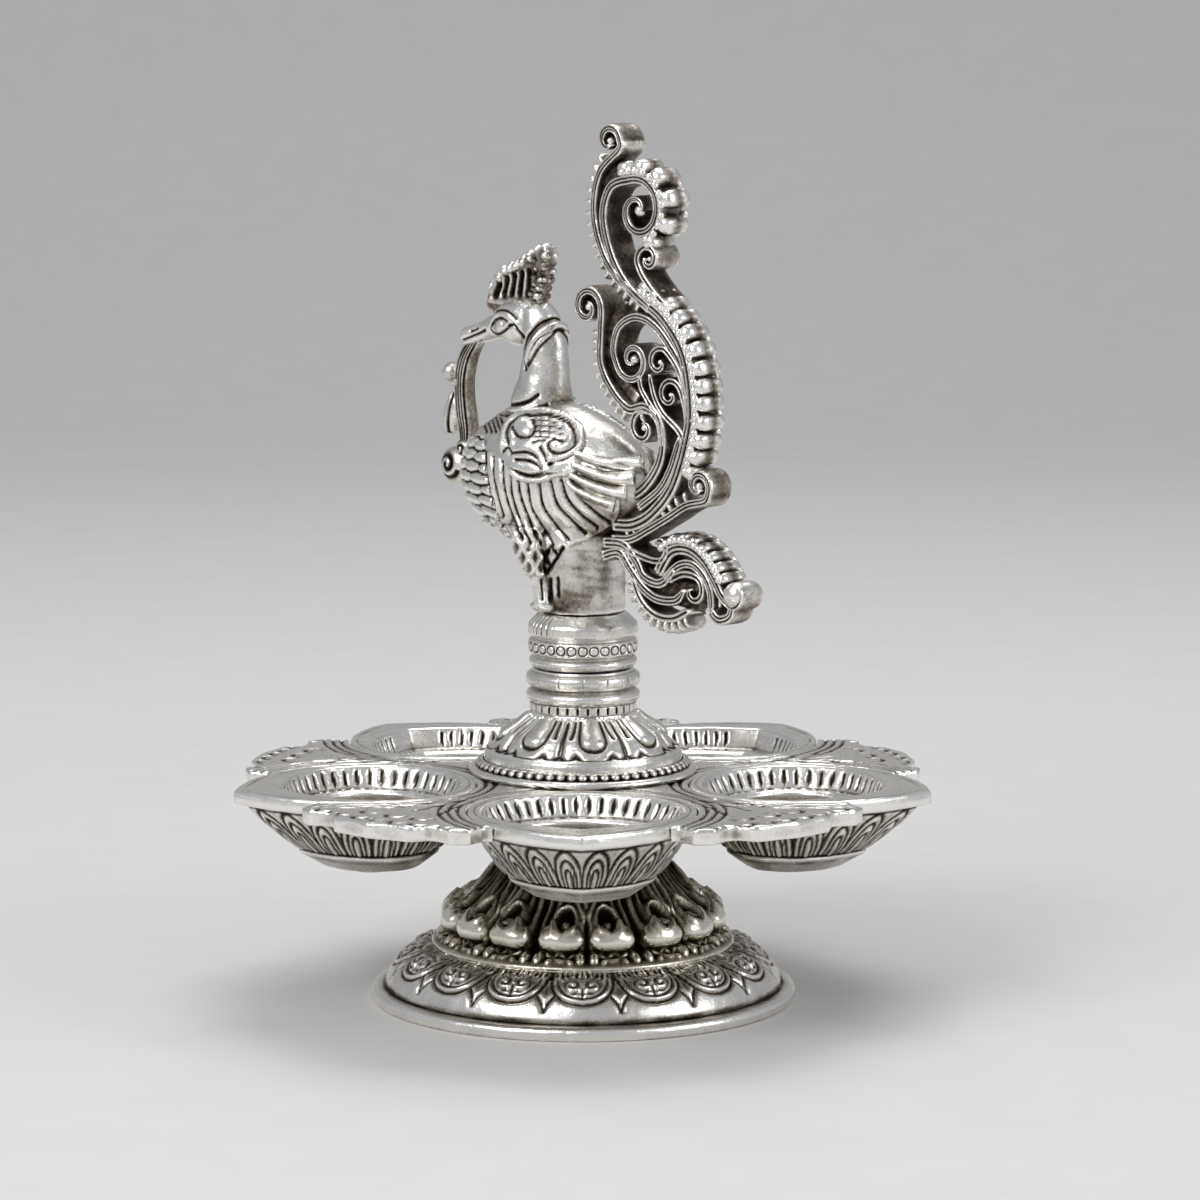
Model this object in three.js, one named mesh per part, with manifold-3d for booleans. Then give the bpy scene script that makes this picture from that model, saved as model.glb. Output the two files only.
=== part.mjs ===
// Peacock oil lamp: five pointed cups on a leaf tray, over a footed bell and under a peacock with a
// pierced scroll tail. Millimetres, +Z up. The origin is the centre of the foot's underside, on the
// axis of the stack, and the front cup points along -Y.

import * as THREE from 'three';
import Module from 'manifold-3d';
import { mergeVertices } from 'three/addons/utils/BufferGeometryUtils.js';

const wasm = await Module();
wasm.setup();

// Clearances
const seatGap = 0.3;
const turnGap = 0.3;
const rodClearance = 0.35;

// Foot: turned rim, lotus dome, lobed bell
const castWall = 2.4;
const rimRadius = 44.7;
const rimHeight = 3;
const rimLedge = 3.2;
const rimBand = 3.4;
const rimEdgeRound = 0.6;
const footSegments = 48;
const domeSegments = 32;
const stackSegments = 24;
const domeHeight = 8.4;
const domeShoulder = 31;
const lotusCount = 16;
const lotusDepth = 0.5;
const bellRimRadius = 31.9;
const bellRimThickness = 1.5;
const bellHeight = 32.1;
const bellPetals = 8;
const bellBulgeRadius = 28.9;
const bellBulgeHeight = 6.4;
const bellLobeDepth = 1.7;
const bellWaistRadius = 16;
const bellWaistHeight = 15.3;
const bellNeckRadius = 13.5;
const bellCeilingHeight = 12.5;
const bellSegments = 48;

// Tray: hub, leaves and cups
const cupCount = 5;
const hubThickness = 4;
const leafThickness = 3.4;
const leafTipRadius = 72.5;
const leafSideRadius = 71;
const leafNotchRadius = 68.6;
const leafJoinRadius = 65.5;
const cupTipRadius = 75;
const cupCentreRadius = 45;
const cupHalfWidth = 23;
const cupInnerReach = 20.6;
const cupDepth = 17;
const cupRimHeight = 3.2;
const cupRimWidth = 2.5;
const cupLipLength = 8.5;
const cupFootWidth = 0.42;
const cupFloorThickness = 2;
const cupStepDepth = 4.2;
const cupStepWidth = 2.2;
const cupPetals = 18;
const cupPetalDepth = 0.6;
const cavitySegments = 20;

// Boss and collars
const bossStepRadius = 20.4;
const bossLedge = 3.4;
const bossRimHeight = 1.5;
const beadRingWidth = 1.5;
const beadRingGap = 0.5;
const beadRingHeight = 1.5;
const beadCount = 40;
const beadDepth = 0.6;
const bossStepHeight = 6.1;
const bossHeight = 13.1;
const bossTopRadius = 10.9;
const bossPetals = 8;
const bossPetalDepth = 0.7;
const fluteCount = 26;
const fluteDepth = 0.35;
const fluteRadius = 11.2;
const fluteHeight = 1.9;
const collarRingRadius = 12;
const collarNeckRadius = 10.7;
const collarLowerHeight = 2.6;
const collarUpperHeight = 3;
const collarGroove = 0.7;

// Pedestal and plinth, above the seam where the figure turns
const pedestalRadius = 11.4;
const pedestalNeckRadius = 10.6;
const pedestalLowerHeight = 2.3;
const pearlBandHeight = 3;
const pedestalGroove = 0.6;
const plinthRadius = 11.5;
const plinthHeight = 4.9;
const plinthBandHeight = 2.6;
const plinthTopRadius = 9.2;

// Tie rod, washer and nut
const rodRadius = 3;
const rodTail = 3;
const rodEngagement = 9;
const washerRadius = 8;
const washerThickness = 1.4;
const nutAcrossFlats = 10;
const nutThickness = 5;

// Peacock: lengths run rearward from the stack's axis, heights up from the plinth
const figureHeading = -45;
const legColumnRadius = 8.8;
const bodyFront = 32.5;
const bodyRear = 20.5;
const bodyHeight = 31;
const bodyWidth = 26.5;
const bodyMidHeight = 27.8;
const neckRootRadius = 6;
const neckTopRadius = 4;
const headLength = 16.5;
const headHeight = 10.4;
const headWidth = 9.6;
const headForward = 17.5;
const headUp = 59.2;
const beakReach = 35.2;
const beakDrop = 4.6;
const thighRadius = 3.4;
const ankleRadius = 1.7;
const wingThickness = 1.7;
const wingInset = 4.3;
const featherRadius = 1.6;
const crestThickness = 3.4;
const crestForward = 1.8;
const crestPelletRadius = 1.6;
const crestPellets = 7;
const crestFront = 4;
const crestRise = 9.2;
const vineWidth = 2.6;
const vineThickness = 3.6;

// Scroll tail plates. A drawing unit is the grid on which the wings and scrolls below are drawn.
const drawingUnit = 1;
const tailThickness = 7.4;
const lobeLength = 7.8;
const lobeRadius = 2.1;
const lobeLift = 0.4;
const lobeSides = 6;
const knobRadius = 2.6;
const fringeRadius = 1.2;
const fringeLength = 5;
const bandStep = 5;
const curlStepDegrees = 50;
const dropThickness = 7;

// Heights of the stack, each on the one below
const domeFoot = rimHeight;
const bellFoot = domeFoot + domeHeight;
const traySeat = bellFoot + bellHeight;
const trayUnderside = traySeat + turnGap;
const trayTop = trayUnderside + hubThickness;
const bossTop = trayTop + bossHeight;
const collarFoot = bossTop + fluteHeight;
const seam = collarFoot + collarLowerHeight + collarGroove + collarUpperHeight + collarGroove;
const pedestalFoot = seam + turnGap;
const plinthFoot = pedestalFoot + pedestalLowerHeight + pedestalGroove + pearlBandHeight + pedestalGroove;
const figureFoot = plinthFoot + plinthHeight;
const bellCeiling = bellFoot + bellCeilingHeight;
const rodBottom = bellCeiling - turnGap - washerThickness - nutThickness - rodTail;
const rodTop = figureFoot + rodEngagement;
const boreRadius = rodRadius + rodClearance;

// Radii that follow from the ones above
const footMouthRadius = domeShoulder - 2 * castWall;
const bossRadius = bossStepRadius + bossLedge;
const beadRingInner = bossStepRadius + beadRingGap;
const beadRingOuter = beadRingInner + beadRingWidth;

const radians = THREE.MathUtils.degToRad;

// Signed volume of an indexed triangle mesh
function signedVolume(positions, index) {
  const corner = [new THREE.Vector3(), new THREE.Vector3(), new THREE.Vector3()];
  let total = 0;
  for (let i = 0; i < index.length; i += 3) {
    corner.forEach((point, k) => point.fromArray(positions, 3 * index[i + k]));
    total += corner[0].dot(corner[1].cross(corner[2])) / 6;
  }
  return total;
}

// Closed solid of a three.js geometry: seams merged, slivers dropped, faces outward
function solid(geometry) {
  const bare = geometry.clone();
  bare.deleteAttribute('normal');
  bare.deleteAttribute('uv');
  const merged = mergeVertices(bare, 1e-4);
  const positions = new Float32Array(merged.attributes.position.array);
  const source = merged.index.array;
  const index = [];
  for (let i = 0; i < source.length; i += 3) {
    const [a, b, c] = source.slice(i, i + 3);
    if (a !== b && b !== c && c !== a) index.push(a, b, c);
  }
  if (signedVolume(positions, index) < 0) index.reverse();
  const mesh = new wasm.Mesh({ numProp: 3, vertProperties: positions, triVerts: new Uint32Array(index) });
  return new wasm.Manifold(mesh);
}

function joined(solids) {
  return solids.reduce((whole, next) => whole.add(next));
}

function surfaceOf(body) {
  const mesh = body.getMesh();
  const geometry = new THREE.BufferGeometry();
  geometry.setAttribute('position', new THREE.BufferAttribute(new Float32Array(mesh.vertProperties), 3));
  geometry.setIndex(new THREE.BufferAttribute(new Uint32Array(mesh.triVerts), 1));
  return geometry;
}

// Solid of revolution about Z. The profile is a closed loop of [radius, height, carve]; carve is how
// deep the given wave cuts that point.
function revolved(profile, segments, wave = () => 0) {
  const points = profile.map(([radius, height]) => new THREE.Vector2(radius, height));
  const geometry = new THREE.LatheGeometry(points, segments);
  geometry.rotateX(Math.PI / 2);
  const position = geometry.attributes.position;
  for (let i = 0; i < position.count; i += 1) {
    const [radius, height, carve = 0] = profile[i % profile.length];
    const turn = 2 * Math.PI * Math.floor(i / profile.length) / segments;
    const reach = radius - carve * wave(turn % (2 * Math.PI));
    position.setXYZ(i, reach * Math.sin(turn), -reach * Math.cos(turn), height);
  }
  return solid(geometry);
}

// Waves that go from 0 on a crest to 1 in a valley, count times in a turn
const petals = (count) => (turn) => 1 - Math.abs(Math.sin(count * turn / 2));
const teeth = (count) => (turn) => Math.round(2 * count * turn / (2 * Math.PI)) % 2;

function disc(radius, bottom, top, segments = 24) {
  const geometry = new THREE.CylinderGeometry(radius, radius, top - bottom, segments);
  geometry.rotateX(Math.PI / 2);
  geometry.translate(0, 0, (bottom + top) / 2);
  return solid(geometry);
}

// Closed solid through a row of sections, each a ring of the same number of points
function lofted(sections) {
  const around = sections[0].length;
  const rows = sections.length - 1;
  const geometry = new THREE.CylinderGeometry(1, 1, 1, around, rows);
  const position = geometry.attributes.position;
  const centres = sections.map((ring) =>
    ring.reduce((sum, point) => sum.clone().add(point)).clone().divideScalar(around));
  for (let i = 0; i < position.count; i += 1) {
    const row = Math.round((0.5 - position.getY(i)) * rows);
    const x = position.getX(i);
    const z = position.getZ(i);
    const step = Math.round(Math.atan2(x, z) / (2 * Math.PI) * around + around) % around;
    const target = Math.hypot(x, z) < 0.5 ? centres[row] : sections[row][step];
    position.setXYZ(i, target.x, target.y, target.z);
  }
  return solid(geometry);
}

// Ellipse of points about a centre, in the plane of two unit directions
function ellipseRing(centre, across, up, halfWidth, halfHeight, count) {
  return Array.from({ length: count }, (_, i) => {
    const angle = 2 * Math.PI * i / count;
    return centre.clone()
      .addScaledVector(across, halfWidth * Math.cos(angle))
      .addScaledVector(up, halfHeight * Math.sin(angle));
  });
}

const finishes = {
  silver: new THREE.Color(0xb9b6b0),
  bright: new THREE.Color(0xd4d2cd),
  dark: new THREE.Color(0x8d8983),
  steel: new THREE.Color(0x9a9a98),
};

function piece(name, body, tone, roughness = 0.35) {
  const geometry = surfaceOf(body);
  geometry.computeVertexNormals();
  const material = new THREE.MeshStandardMaterial({ color: finishes[tone], roughness, metalness: 1 });
  const mesh = new THREE.Mesh(geometry, material);
  mesh.name = name;
  return mesh;
}

// Flat turned rim under the foot, with a narrow ledge outside the dome
function footRim() {
  const inner = rimRadius - rimLedge - rimBand;
  return revolved([
    [inner, 0],
    [rimRadius - rimEdgeRound, 0],
    [rimRadius, rimEdgeRound],
    [rimRadius, rimHeight - rimEdgeRound],
    [rimRadius - rimEdgeRound, rimHeight],
    [inner, rimHeight],
    [inner, 0],
  ], footSegments);
}

// Hollow dome: a convex slope of lotus motifs up to the bell's seat
function footDome() {
  const foot = rimRadius - rimLedge;
  const slope = foot - domeShoulder;
  const outer = [
    [foot, domeFoot],
    [foot, domeFoot + 0.12 * domeHeight, lotusDepth],
    [foot - 0.12 * slope, domeFoot + 0.42 * domeHeight, lotusDepth],
    [foot - 0.36 * slope, domeFoot + 0.74 * domeHeight, lotusDepth],
    [foot - 0.68 * slope, domeFoot + 0.93 * domeHeight],
    [domeShoulder, bellFoot],
  ];
  return revolved([
    ...outer,
    [footMouthRadius, bellFoot],
    [footMouthRadius, bellFoot - castWall],
    [domeShoulder - castWall, bellFoot - castWall],
    [foot - 0.36 * slope - castWall, domeFoot + 0.5 * domeHeight],
    [foot - castWall, domeFoot],
    [foot, domeFoot],
  ], domeSegments, petals(lotusCount));
}

// Lobed bell: wavy rim, eight double petals, concave flutes and a plain neck under the tray
function bellStem() {
  const bulge = bellFoot + bellBulgeHeight;
  const waist = bellFoot + bellWaistHeight;
  const belly = bellBulgeRadius;
  const flare = belly - bellWaistRadius;
  const rise = waist - bulge;
  const outer = revolved([
    [0, bellFoot],
    [bellRimRadius, bellFoot, 0.5],
    [bellRimRadius, bellFoot + bellRimThickness, 0.5],
    [belly - 0.2, bellFoot + 0.45 * bellBulgeHeight],
    [belly + 0.3, bellFoot + 0.62 * bellBulgeHeight, bellLobeDepth],
    [belly, bulge, bellLobeDepth],
    [belly - 0.14 * flare, bulge + 0.28 * rise, bellLobeDepth],
    [belly - 0.42 * flare, bulge + 0.55 * rise, 0.6 * bellLobeDepth],
    [belly - 0.78 * flare, bulge + 0.84 * rise, 0.4 * bellLobeDepth],
    [bellWaistRadius, waist, 0.3 * bellLobeDepth],
    [bellNeckRadius, waist + castWall],
    [bellNeckRadius, traySeat],
    [0, traySeat],
  ], bellSegments, petals(2 * bellPetals));
  const hollow = revolved([
    [0, bellFoot - 1],
    [footMouthRadius, bellFoot - 1],
    [footMouthRadius, bellFoot],
    [belly - bellLobeDepth - castWall, bulge],
    [bellWaistRadius - castWall, bellCeiling],
    [0, bellCeiling],
  ], 32);
  return outer.subtract(hollow).subtract(disc(boreRadius, bellCeiling - 1, traySeat + 1));
}

// Outline of a cup seen from above, drawn from its tip back round the inner end: x runs outward along
// the cup, from the stack's axis
function cupOutline(inset, lip = cupTipRadius) {
  const wide = cupHalfWidth - inset;
  const inner = cupCentreRadius - cupInnerReach + inset;
  const tip = lip - inset;
  const shoulder = 0.37 * (tip - cupCentreRadius);
  const cheek = 0.77 * (tip - cupCentreRadius);
  const roundness = 0.5523;
  const outline = new THREE.Shape();
  outline.moveTo(tip, 0);
  outline.bezierCurveTo(cupCentreRadius + cheek, 0.74 * wide, cupCentreRadius + shoulder, wide,
    cupCentreRadius, wide);
  outline.bezierCurveTo(cupCentreRadius - roundness * (cupCentreRadius - inner), wide,
    inner, roundness * wide, inner, 0);
  outline.bezierCurveTo(inner, -roundness * wide,
    cupCentreRadius - roundness * (cupCentreRadius - inner), -wide, cupCentreRadius, -wide);
  outline.bezierCurveTo(cupCentreRadius + shoulder, -wide, cupCentreRadius + cheek, -0.74 * wide, tip, 0);
  return outline;
}

// Ring of points round a cup at one height, scaled about the bowl's centre; lower rings are rounder, and
// carve draws every second point in, between petals
function cupRing(count, { inset, lip, height, scale, carve = 0 }) {
  const points = cupOutline(inset, lip).getSpacedPoints(count).slice(0, count);
  return points.map((point, i) => {
    const spoke = new THREE.Vector2(point.x - cupCentreRadius, point.y).multiplyScalar(scale);
    spoke.setLength(spoke.length() - carve * (i % 2));
    return new THREE.Vector3(cupCentreRadius + spoke.x, spoke.y, height);
  });
}

// Pointed oil cup: an upright rim band over a bowl of petals and its foot ring, with a ledge inside
function oilCup() {
  const rimFoot = trayTop - cupRimHeight;
  const base = trayTop - cupDepth;
  const bowl = rimFoot - base;
  const outer = lofted([
    { inset: 0, lip: cupTipRadius, height: trayTop, scale: 1 },
    { inset: 0, lip: cupTipRadius, height: rimFoot, scale: 1 },
    { inset: 1.2, lip: cupTipRadius - 1, height: rimFoot - 0.3, scale: 1 },
    { inset: 1.2, lip: cupTipRadius - 3, height: rimFoot - 0.45 * bowl, scale: 0.84, carve: cupPetalDepth },
    { inset: 1.2, lip: cupTipRadius - 4, height: rimFoot - 0.74 * bowl, scale: 0.68, carve: cupPetalDepth },
    { inset: 1.2, lip: cupTipRadius - 4, height: rimFoot - 0.78 * bowl, scale: 0.68 },
    { inset: 1.2, lip: cupTipRadius - 6, height: base, scale: cupFootWidth },
  ].map((ring) => cupRing(2 * cupPetals, ring)));
  const floor = base + cupFloorThickness;
  const step = trayTop - cupStepDepth;
  const depth = step - floor;
  const lip = cupTipRadius - cupLipLength + cupRimWidth;
  const ledge = cupRimWidth + cupStepWidth;
  const cavity = lofted([
    { inset: cupRimWidth - 0.3, lip, height: trayTop + 1, scale: 1 },
    { inset: cupRimWidth + 1.3, lip, height: step, scale: 0.96 },
    { inset: ledge, lip: lip - 1, height: step - 0.1, scale: 0.94 },
    { inset: ledge, lip: lip - 2, height: step - 0.45 * depth, scale: 0.8 },
    { inset: ledge, lip: lip - 5, height: floor, scale: 0.4 },
  ].map((ring) => cupRing(cavitySegments, ring)));
  return outer.subtract(cavity);
}

const cupAngle = (i) => radians(-90 + 360 * i / cupCount);
const leafAngle = (i) => radians(-90 + 180 / cupCount + 360 * i / cupCount);

// Outline of the tray from above: five leaves, each a centre lobe between two side lobes
function trayOutline() {
  const lobes = [
    [-19, leafJoinRadius], [-17.5, leafSideRadius - 1], [-14.5, leafSideRadius], [-11.5, leafNotchRadius],
    [-10, leafNotchRadius], [-7.5, leafTipRadius - 0.8], [0, leafTipRadius], [7.5, leafTipRadius - 0.8],
    [10, leafNotchRadius], [11.5, leafNotchRadius], [14.5, leafSideRadius], [17.5, leafSideRadius - 1],
    [19, leafJoinRadius],
  ];
  const outline = new THREE.Shape();
  const points = [];
  for (let i = 0; i < cupCount; i += 1) {
    lobes.forEach(([degrees, radius]) => {
      const angle = leafAngle(i) + radians(degrees);
      points.push(new THREE.Vector2(radius * Math.cos(angle), radius * Math.sin(angle)));
    });
  }
  outline.setFromPoints(points);
  return outline;
}

// Leaf tray: thin leaves round a thicker hub, with a bay cut clear of each cup
function trayPlate() {
  const leaves = new THREE.ExtrudeGeometry(trayOutline(), {
    depth: leafThickness, bevelEnabled: false,
  });
  leaves.translate(0, 0, trayTop - leafThickness);
  const hub = disc(cupCentreRadius - 10, trayUnderside, trayTop, 40);
  let tray = solid(leaves).add(hub);
  const bay = new THREE.ExtrudeGeometry(cupOutline(-seatGap), {
    depth: 2 * cupDepth, bevelEnabled: false, curveSegments: 7,
  });
  bay.translate(0, 0, trayTop - cupDepth);
  for (let i = 0; i < cupCount; i += 1) {
    const cut = bay.clone();
    cut.rotateZ(cupAngle(i));
    tray = tray.subtract(solid(cut));
  }
  return tray.subtract(disc(boreRadius, trayUnderside - 1, trayTop + 1));
}

// Raised boss over the hub: a bead seat, a round step and a concave cone of petals
function bossDome() {
  const step = trayTop + bossStepHeight;
  const cone = bossHeight - bossStepHeight;
  const waist = bossStepRadius - bossTopRadius;
  const beadSeat = trayTop + bossRimHeight;
  return revolved([
    [boreRadius, trayTop],
    [bossRadius, trayTop],
    [bossRadius, beadSeat],
    [bossStepRadius, beadSeat],
    [bossStepRadius + 0.2, beadSeat + beadRingHeight + 0.8],
    [bossStepRadius, step - 1],
    [bossStepRadius - 1.2, step, 0.3 * bossPetalDepth],
    [bossStepRadius - 0.33 * waist, step + 0.42 * cone, bossPetalDepth],
    [bossStepRadius - 0.62 * waist, step + 0.66 * cone, bossPetalDepth],
    [bossTopRadius, bossTop],
    [boreRadius, bossTop],
    [boreRadius, trayTop],
  ], 32, petals(bossPetals));
}

// Toothed ring that sits on the boss's lower ledge
function beadedRing() {
  const foot = trayTop + bossRimHeight;
  return revolved([
    [beadRingInner, foot],
    [beadRingOuter, foot + 0.3 * beadRingHeight, beadDepth],
    [beadRingInner, foot + beadRingHeight],
    [beadRingInner, foot],
  ], 2 * beadCount, teeth(beadCount));
}

// Short band of upright flutes on the boss
function flutedCollar() {
  return revolved([
    [boreRadius, bossTop],
    [fluteRadius, bossTop, fluteDepth],
    [fluteRadius, collarFoot, fluteDepth],
    [boreRadius, collarFoot],
    [boreRadius, bossTop],
  ], 2 * fluteCount, teeth(fluteCount));
}

// Profile of one rounded ring standing on a narrower neck
function ringProfile(radius, foot, height, neck, groove) {
  const round = 0.3 * height;
  return [
    [radius - 0.6, foot],
    [radius, foot + round],
    [radius, foot + height - round],
    [neck, foot + height],
    [neck, foot + height + groove],
  ];
}

function ringCollar() {
  const upperFoot = collarFoot + collarLowerHeight + collarGroove;
  return revolved([
    [boreRadius, collarFoot],
    ...ringProfile(collarRingRadius, collarFoot, collarLowerHeight, collarNeckRadius, collarGroove),
    ...ringProfile(collarRingRadius, upperFoot, collarUpperHeight, collarNeckRadius, collarGroove),
    [boreRadius, seam],
    [boreRadius, collarFoot],
  ], stackSegments);
}

// Upper ring stack: one rounded ring and the band that carries the row of pearls
function pedestal() {
  const bandFoot = pedestalFoot + pedestalLowerHeight + pedestalGroove;
  return revolved([
    [boreRadius, pedestalFoot],
    ...ringProfile(pedestalRadius, pedestalFoot, pedestalLowerHeight, pedestalNeckRadius, pedestalGroove),
    ...ringProfile(pedestalRadius, bandFoot, pearlBandHeight, pedestalNeckRadius, pedestalGroove),
    [boreRadius, plinthFoot],
    [boreRadius, pedestalFoot],
  ], stackSegments);
}

// Plinth under the figure: an upright band and a slope up to the leg column
function plinth() {
  return revolved([
    [boreRadius, plinthFoot],
    [plinthRadius - 0.3, plinthFoot],
    [plinthRadius, plinthFoot + 0.4],
    [plinthRadius, plinthFoot + plinthBandHeight],
    [plinthRadius - 0.5, plinthFoot + plinthBandHeight + 0.4],
    [plinthTopRadius, figureFoot],
    [boreRadius, figureFoot],
    [boreRadius, plinthFoot],
  ], stackSegments);
}

function tieRod() {
  return disc(rodRadius, rodBottom, rodTop, 16);
}

function washer() {
  const top = bellCeiling - turnGap;
  return disc(washerRadius, top - washerThickness, top)
    .subtract(disc(boreRadius, top - 2 * washerThickness, top + 1));
}

function clampNut() {
  const top = bellCeiling - turnGap - washerThickness;
  const acrossCorners = nutAcrossFlats / Math.cos(Math.PI / 6);
  return disc(acrossCorners / 2, top - nutThickness, top, 6)
    .subtract(disc(boreRadius, top - 2 * nutThickness, top + 1));
}

// Fullness of the body along its length, from the breast (-1) to the rump (1)
function bodyFullness(along) {
  if (along < 0) return (1 - (-along) ** 2.1) ** 0.47;
  return (1 - along ** 1.5) ** 0.62;
}

// Egg of the body in upright elliptical sections; grow pushes its skin outward
function torso(grow, rows = 10, around = 18) {
  const across = new THREE.Vector3(0, 1, 0);
  const up = new THREE.Vector3(0, 0, 1);
  const middle = (bodyRear - bodyFront) / 2;
  const half = (bodyRear + bodyFront) / 2 + grow;
  const sections = Array.from({ length: rows + 1 }, (_, i) => {
    const along = Math.max(-0.992, Math.min(0.985, -Math.cos(Math.PI * i / rows)));
    const full = bodyFullness(along);
    const centre = new THREE.Vector3(middle + half * along, 0, bodyMidHeight);
    return ellipseRing(centre, across, up, bodyWidth / 2 * full + grow, bodyHeight / 2 * full + grow, around);
  });
  return lofted(sections);
}

// Round limb through [rearward, side, height, radius] stations, in level sections
function limb(stations, around) {
  const level = [new THREE.Vector3(1, 0, 0), new THREE.Vector3(0, 1, 0)];
  return lofted(stations.map(([x, y, z, radius]) =>
    ellipseRing(new THREE.Vector3(x, y, z), level[0], level[1], radius, radius, around)));
}

function ball(x, y, z, halfLength, halfWidth, halfHeight, around = 8) {
  const geometry = new THREE.SphereGeometry(1, around, Math.round(around * 0.6));
  geometry.scale(halfLength, halfWidth, halfHeight);
  geometry.translate(x, y, z);
  return solid(geometry);
}

function head(grow) {
  const half = [headLength, headWidth, headHeight].map((length) => length / 2 + grow);
  return ball(-headForward, 0, headUp, ...half, 12);
}

function neck(grow) {
  const root = bodyMidHeight + bodyHeight / 2 - 4;
  const rise = headUp - root;
  return limb([
    [-11.5, 0, root, neckRootRadius + 0.8 + grow],
    [-11.3, 0, root + 0.24 * rise, neckRootRadius - 0.4 + grow],
    [-10.9, 0, root + 0.55 * rise, neckTopRadius + 0.4 + grow],
    [-11.6, 0, root + 0.8 * rise, neckTopRadius + grow],
    [-headForward + 4.6, 0, headUp + 1, neckTopRadius - 0.4 + grow],
  ], 12);
}

// Short thick beak, drooping to a blunt end
function beak(grow) {
  const across = new THREE.Vector3(0, 1, 0);
  const up = new THREE.Vector3(0, 0, 1);
  const rootX = -headForward - 0.28 * headLength;
  const reach = beakReach + rootX;
  const station = (share, width, height) => ellipseRing(
    new THREE.Vector3(rootX - share * reach, 0, headUp - 0.8 - share * (beakDrop - 0.8)),
    across, up, width + grow, height + grow, 10);
  return lofted([station(0, 3, 3.4), station(0.4, 2.2, 2.2), station(0.94, 1.7, 1.8), station(1, 1.3, 1.4)]);
}

// Leg on one side: feathered thigh, thin shank and a foot that rests beside the column
function leg(side) {
  const spread = legColumnRadius + 0.6;
  return joined([
    limb([
      [-6.5, side * (spread + 0.6), 17.5, thighRadius],
      [-5.5, side * (spread + 0.8), 12, thighRadius - 0.4],
      [-3, side * spread, 7, ankleRadius + 0.6],
      [-1.5, side * spread, 1.2, ankleRadius],
    ], 8),
    ball(-2.4, side * spread, 1.8, 3, 1.9, 1.5),
  ]);
}

// Body, neck, head, beak and legs on the round column that the figure stands on
function birdBody() {
  const column = disc(legColumnRadius, seatGap, bodyMidHeight - 4, 24);
  const socket = disc(boreRadius, seatGap - 1, rodEngagement + rodClearance);
  return joined([torso(0), column, neck(0), head(0), beak(0), leg(1), leg(-1)]).subtract(socket);
}

// Prism of a side-view outline, from one side distance to another
function sidePrism(outline, from, to, curveSegments = 6) {
  const geometry = new THREE.ExtrudeGeometry(outline, {
    depth: Math.abs(to - from), bevelEnabled: false, curveSegments,
  });
  geometry.rotateX(Math.PI / 2);
  geometry.translate(0, Math.max(from, to), 0);
  return solid(geometry);
}

// Smooth closed outline through [rearward, height] points of a drawing
function closedOutline(drawing, steps) {
  const points = drawing.map(([x, z]) => new THREE.Vector3(x, z, 0).multiplyScalar(drawingUnit));
  const curve = new THREE.CatmullRomCurve3(points, true);
  return new THREE.Shape(curve.getPoints(steps).slice(1).map(({ x, y }) => new THREE.Vector2(x, y)));
}

// Medallion on the shoulder, seen from the side
const medallionDrawing = [
  [-12.9, 35], [-13.2, 38.6], [-10.9, 41.5], [-4.6, 42.8], [2, 41.7], [7.4, 38.4], [9.3, 34], [10, 30.6],
  [5.5, 28.9], [-1.1, 27.4], [-6.2, 28.3], [-9.6, 31.4],
];

// Bundles of feathers behind it, each from its root to its cut end, as [rearward, side, height]
const featherDrawing = [
  [[8.5, 9.6, 34], [19.8, 3.2, 32.6]],
  [[8.5, 10.6, 32], [19.6, 4, 29.6]],
  [[8.5, 11, 30.4], [18.7, 4.9, 26.6]],
  [[8, 11.4, 29.4], [16.6, 5.8, 24]],
];

// Bar of feathers on one side, thicker at its cut end
function feather([root, tip], side) {
  const [from, to] = [root, tip].map(([x, y, z]) =>
    new THREE.Vector3(x, side * y, z).multiplyScalar(drawingUnit));
  const run = to.clone().sub(from).normalize();
  const across = new THREE.Vector3(0, 0, 1).cross(run).normalize();
  const up = run.clone().cross(across);
  return lofted([[from, 0.7], [to, 1]].map(([centre, share]) =>
    ellipseRing(centre, across, up, featherRadius * share, featherRadius * share, 6)));
}

// Folded wing: a raised medallion that follows the shoulder, and the feathers behind it
function wing(side) {
  const outline = closedOutline(medallionDrawing, 16);
  const cover = sidePrism(outline, side * wingInset, side * bodyWidth);
  const pad = torso(seatGap + wingThickness).intersect(cover);
  return joined([pad, ...featherDrawing.map((drawing) => feather(drawing, side))])
    .subtract(torso(seatGap))
    .subtract(neck(seatGap))
    .subtract(band(tailScrolls.leftFrame, tailThickness, seatGap))
    .subtract(band(tailScrolls.mainArch, tailThickness, seatGap))
    .subtract(band(tailScrolls.rootWeb, tailThickness, seatGap));
}

// Crest: a comb of ribs along the crown, under a rising row of pellets
function crest() {
  const foot = headUp + 0.2 * headHeight;
  const front = -headForward - headLength / 2 + 0.5 - crestForward;
  const span = headLength - 1;
  const edge = Array.from({ length: crestPellets }, (_, i) => {
    const share = i / (crestPellets - 1);
    return [front + span * (1.12 * share - 0.04), foot + crestFront + crestRise * share ** 1.2];
  });
  const outline = new THREE.Shape();
  outline.moveTo(front, foot);
  outline.lineTo(front + span, foot);
  edge.toReversed().forEach(([x, z]) => outline.lineTo(x, z));
  const comb = sidePrism(outline, -crestThickness / 2, crestThickness / 2);
  const size = crestPelletRadius;
  const pellets = edge.map(([x, z]) => ball(x, 0, z, size, size, size, 6));
  return joined([comb, ...pellets]).subtract(head(seatGap));
}

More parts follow.
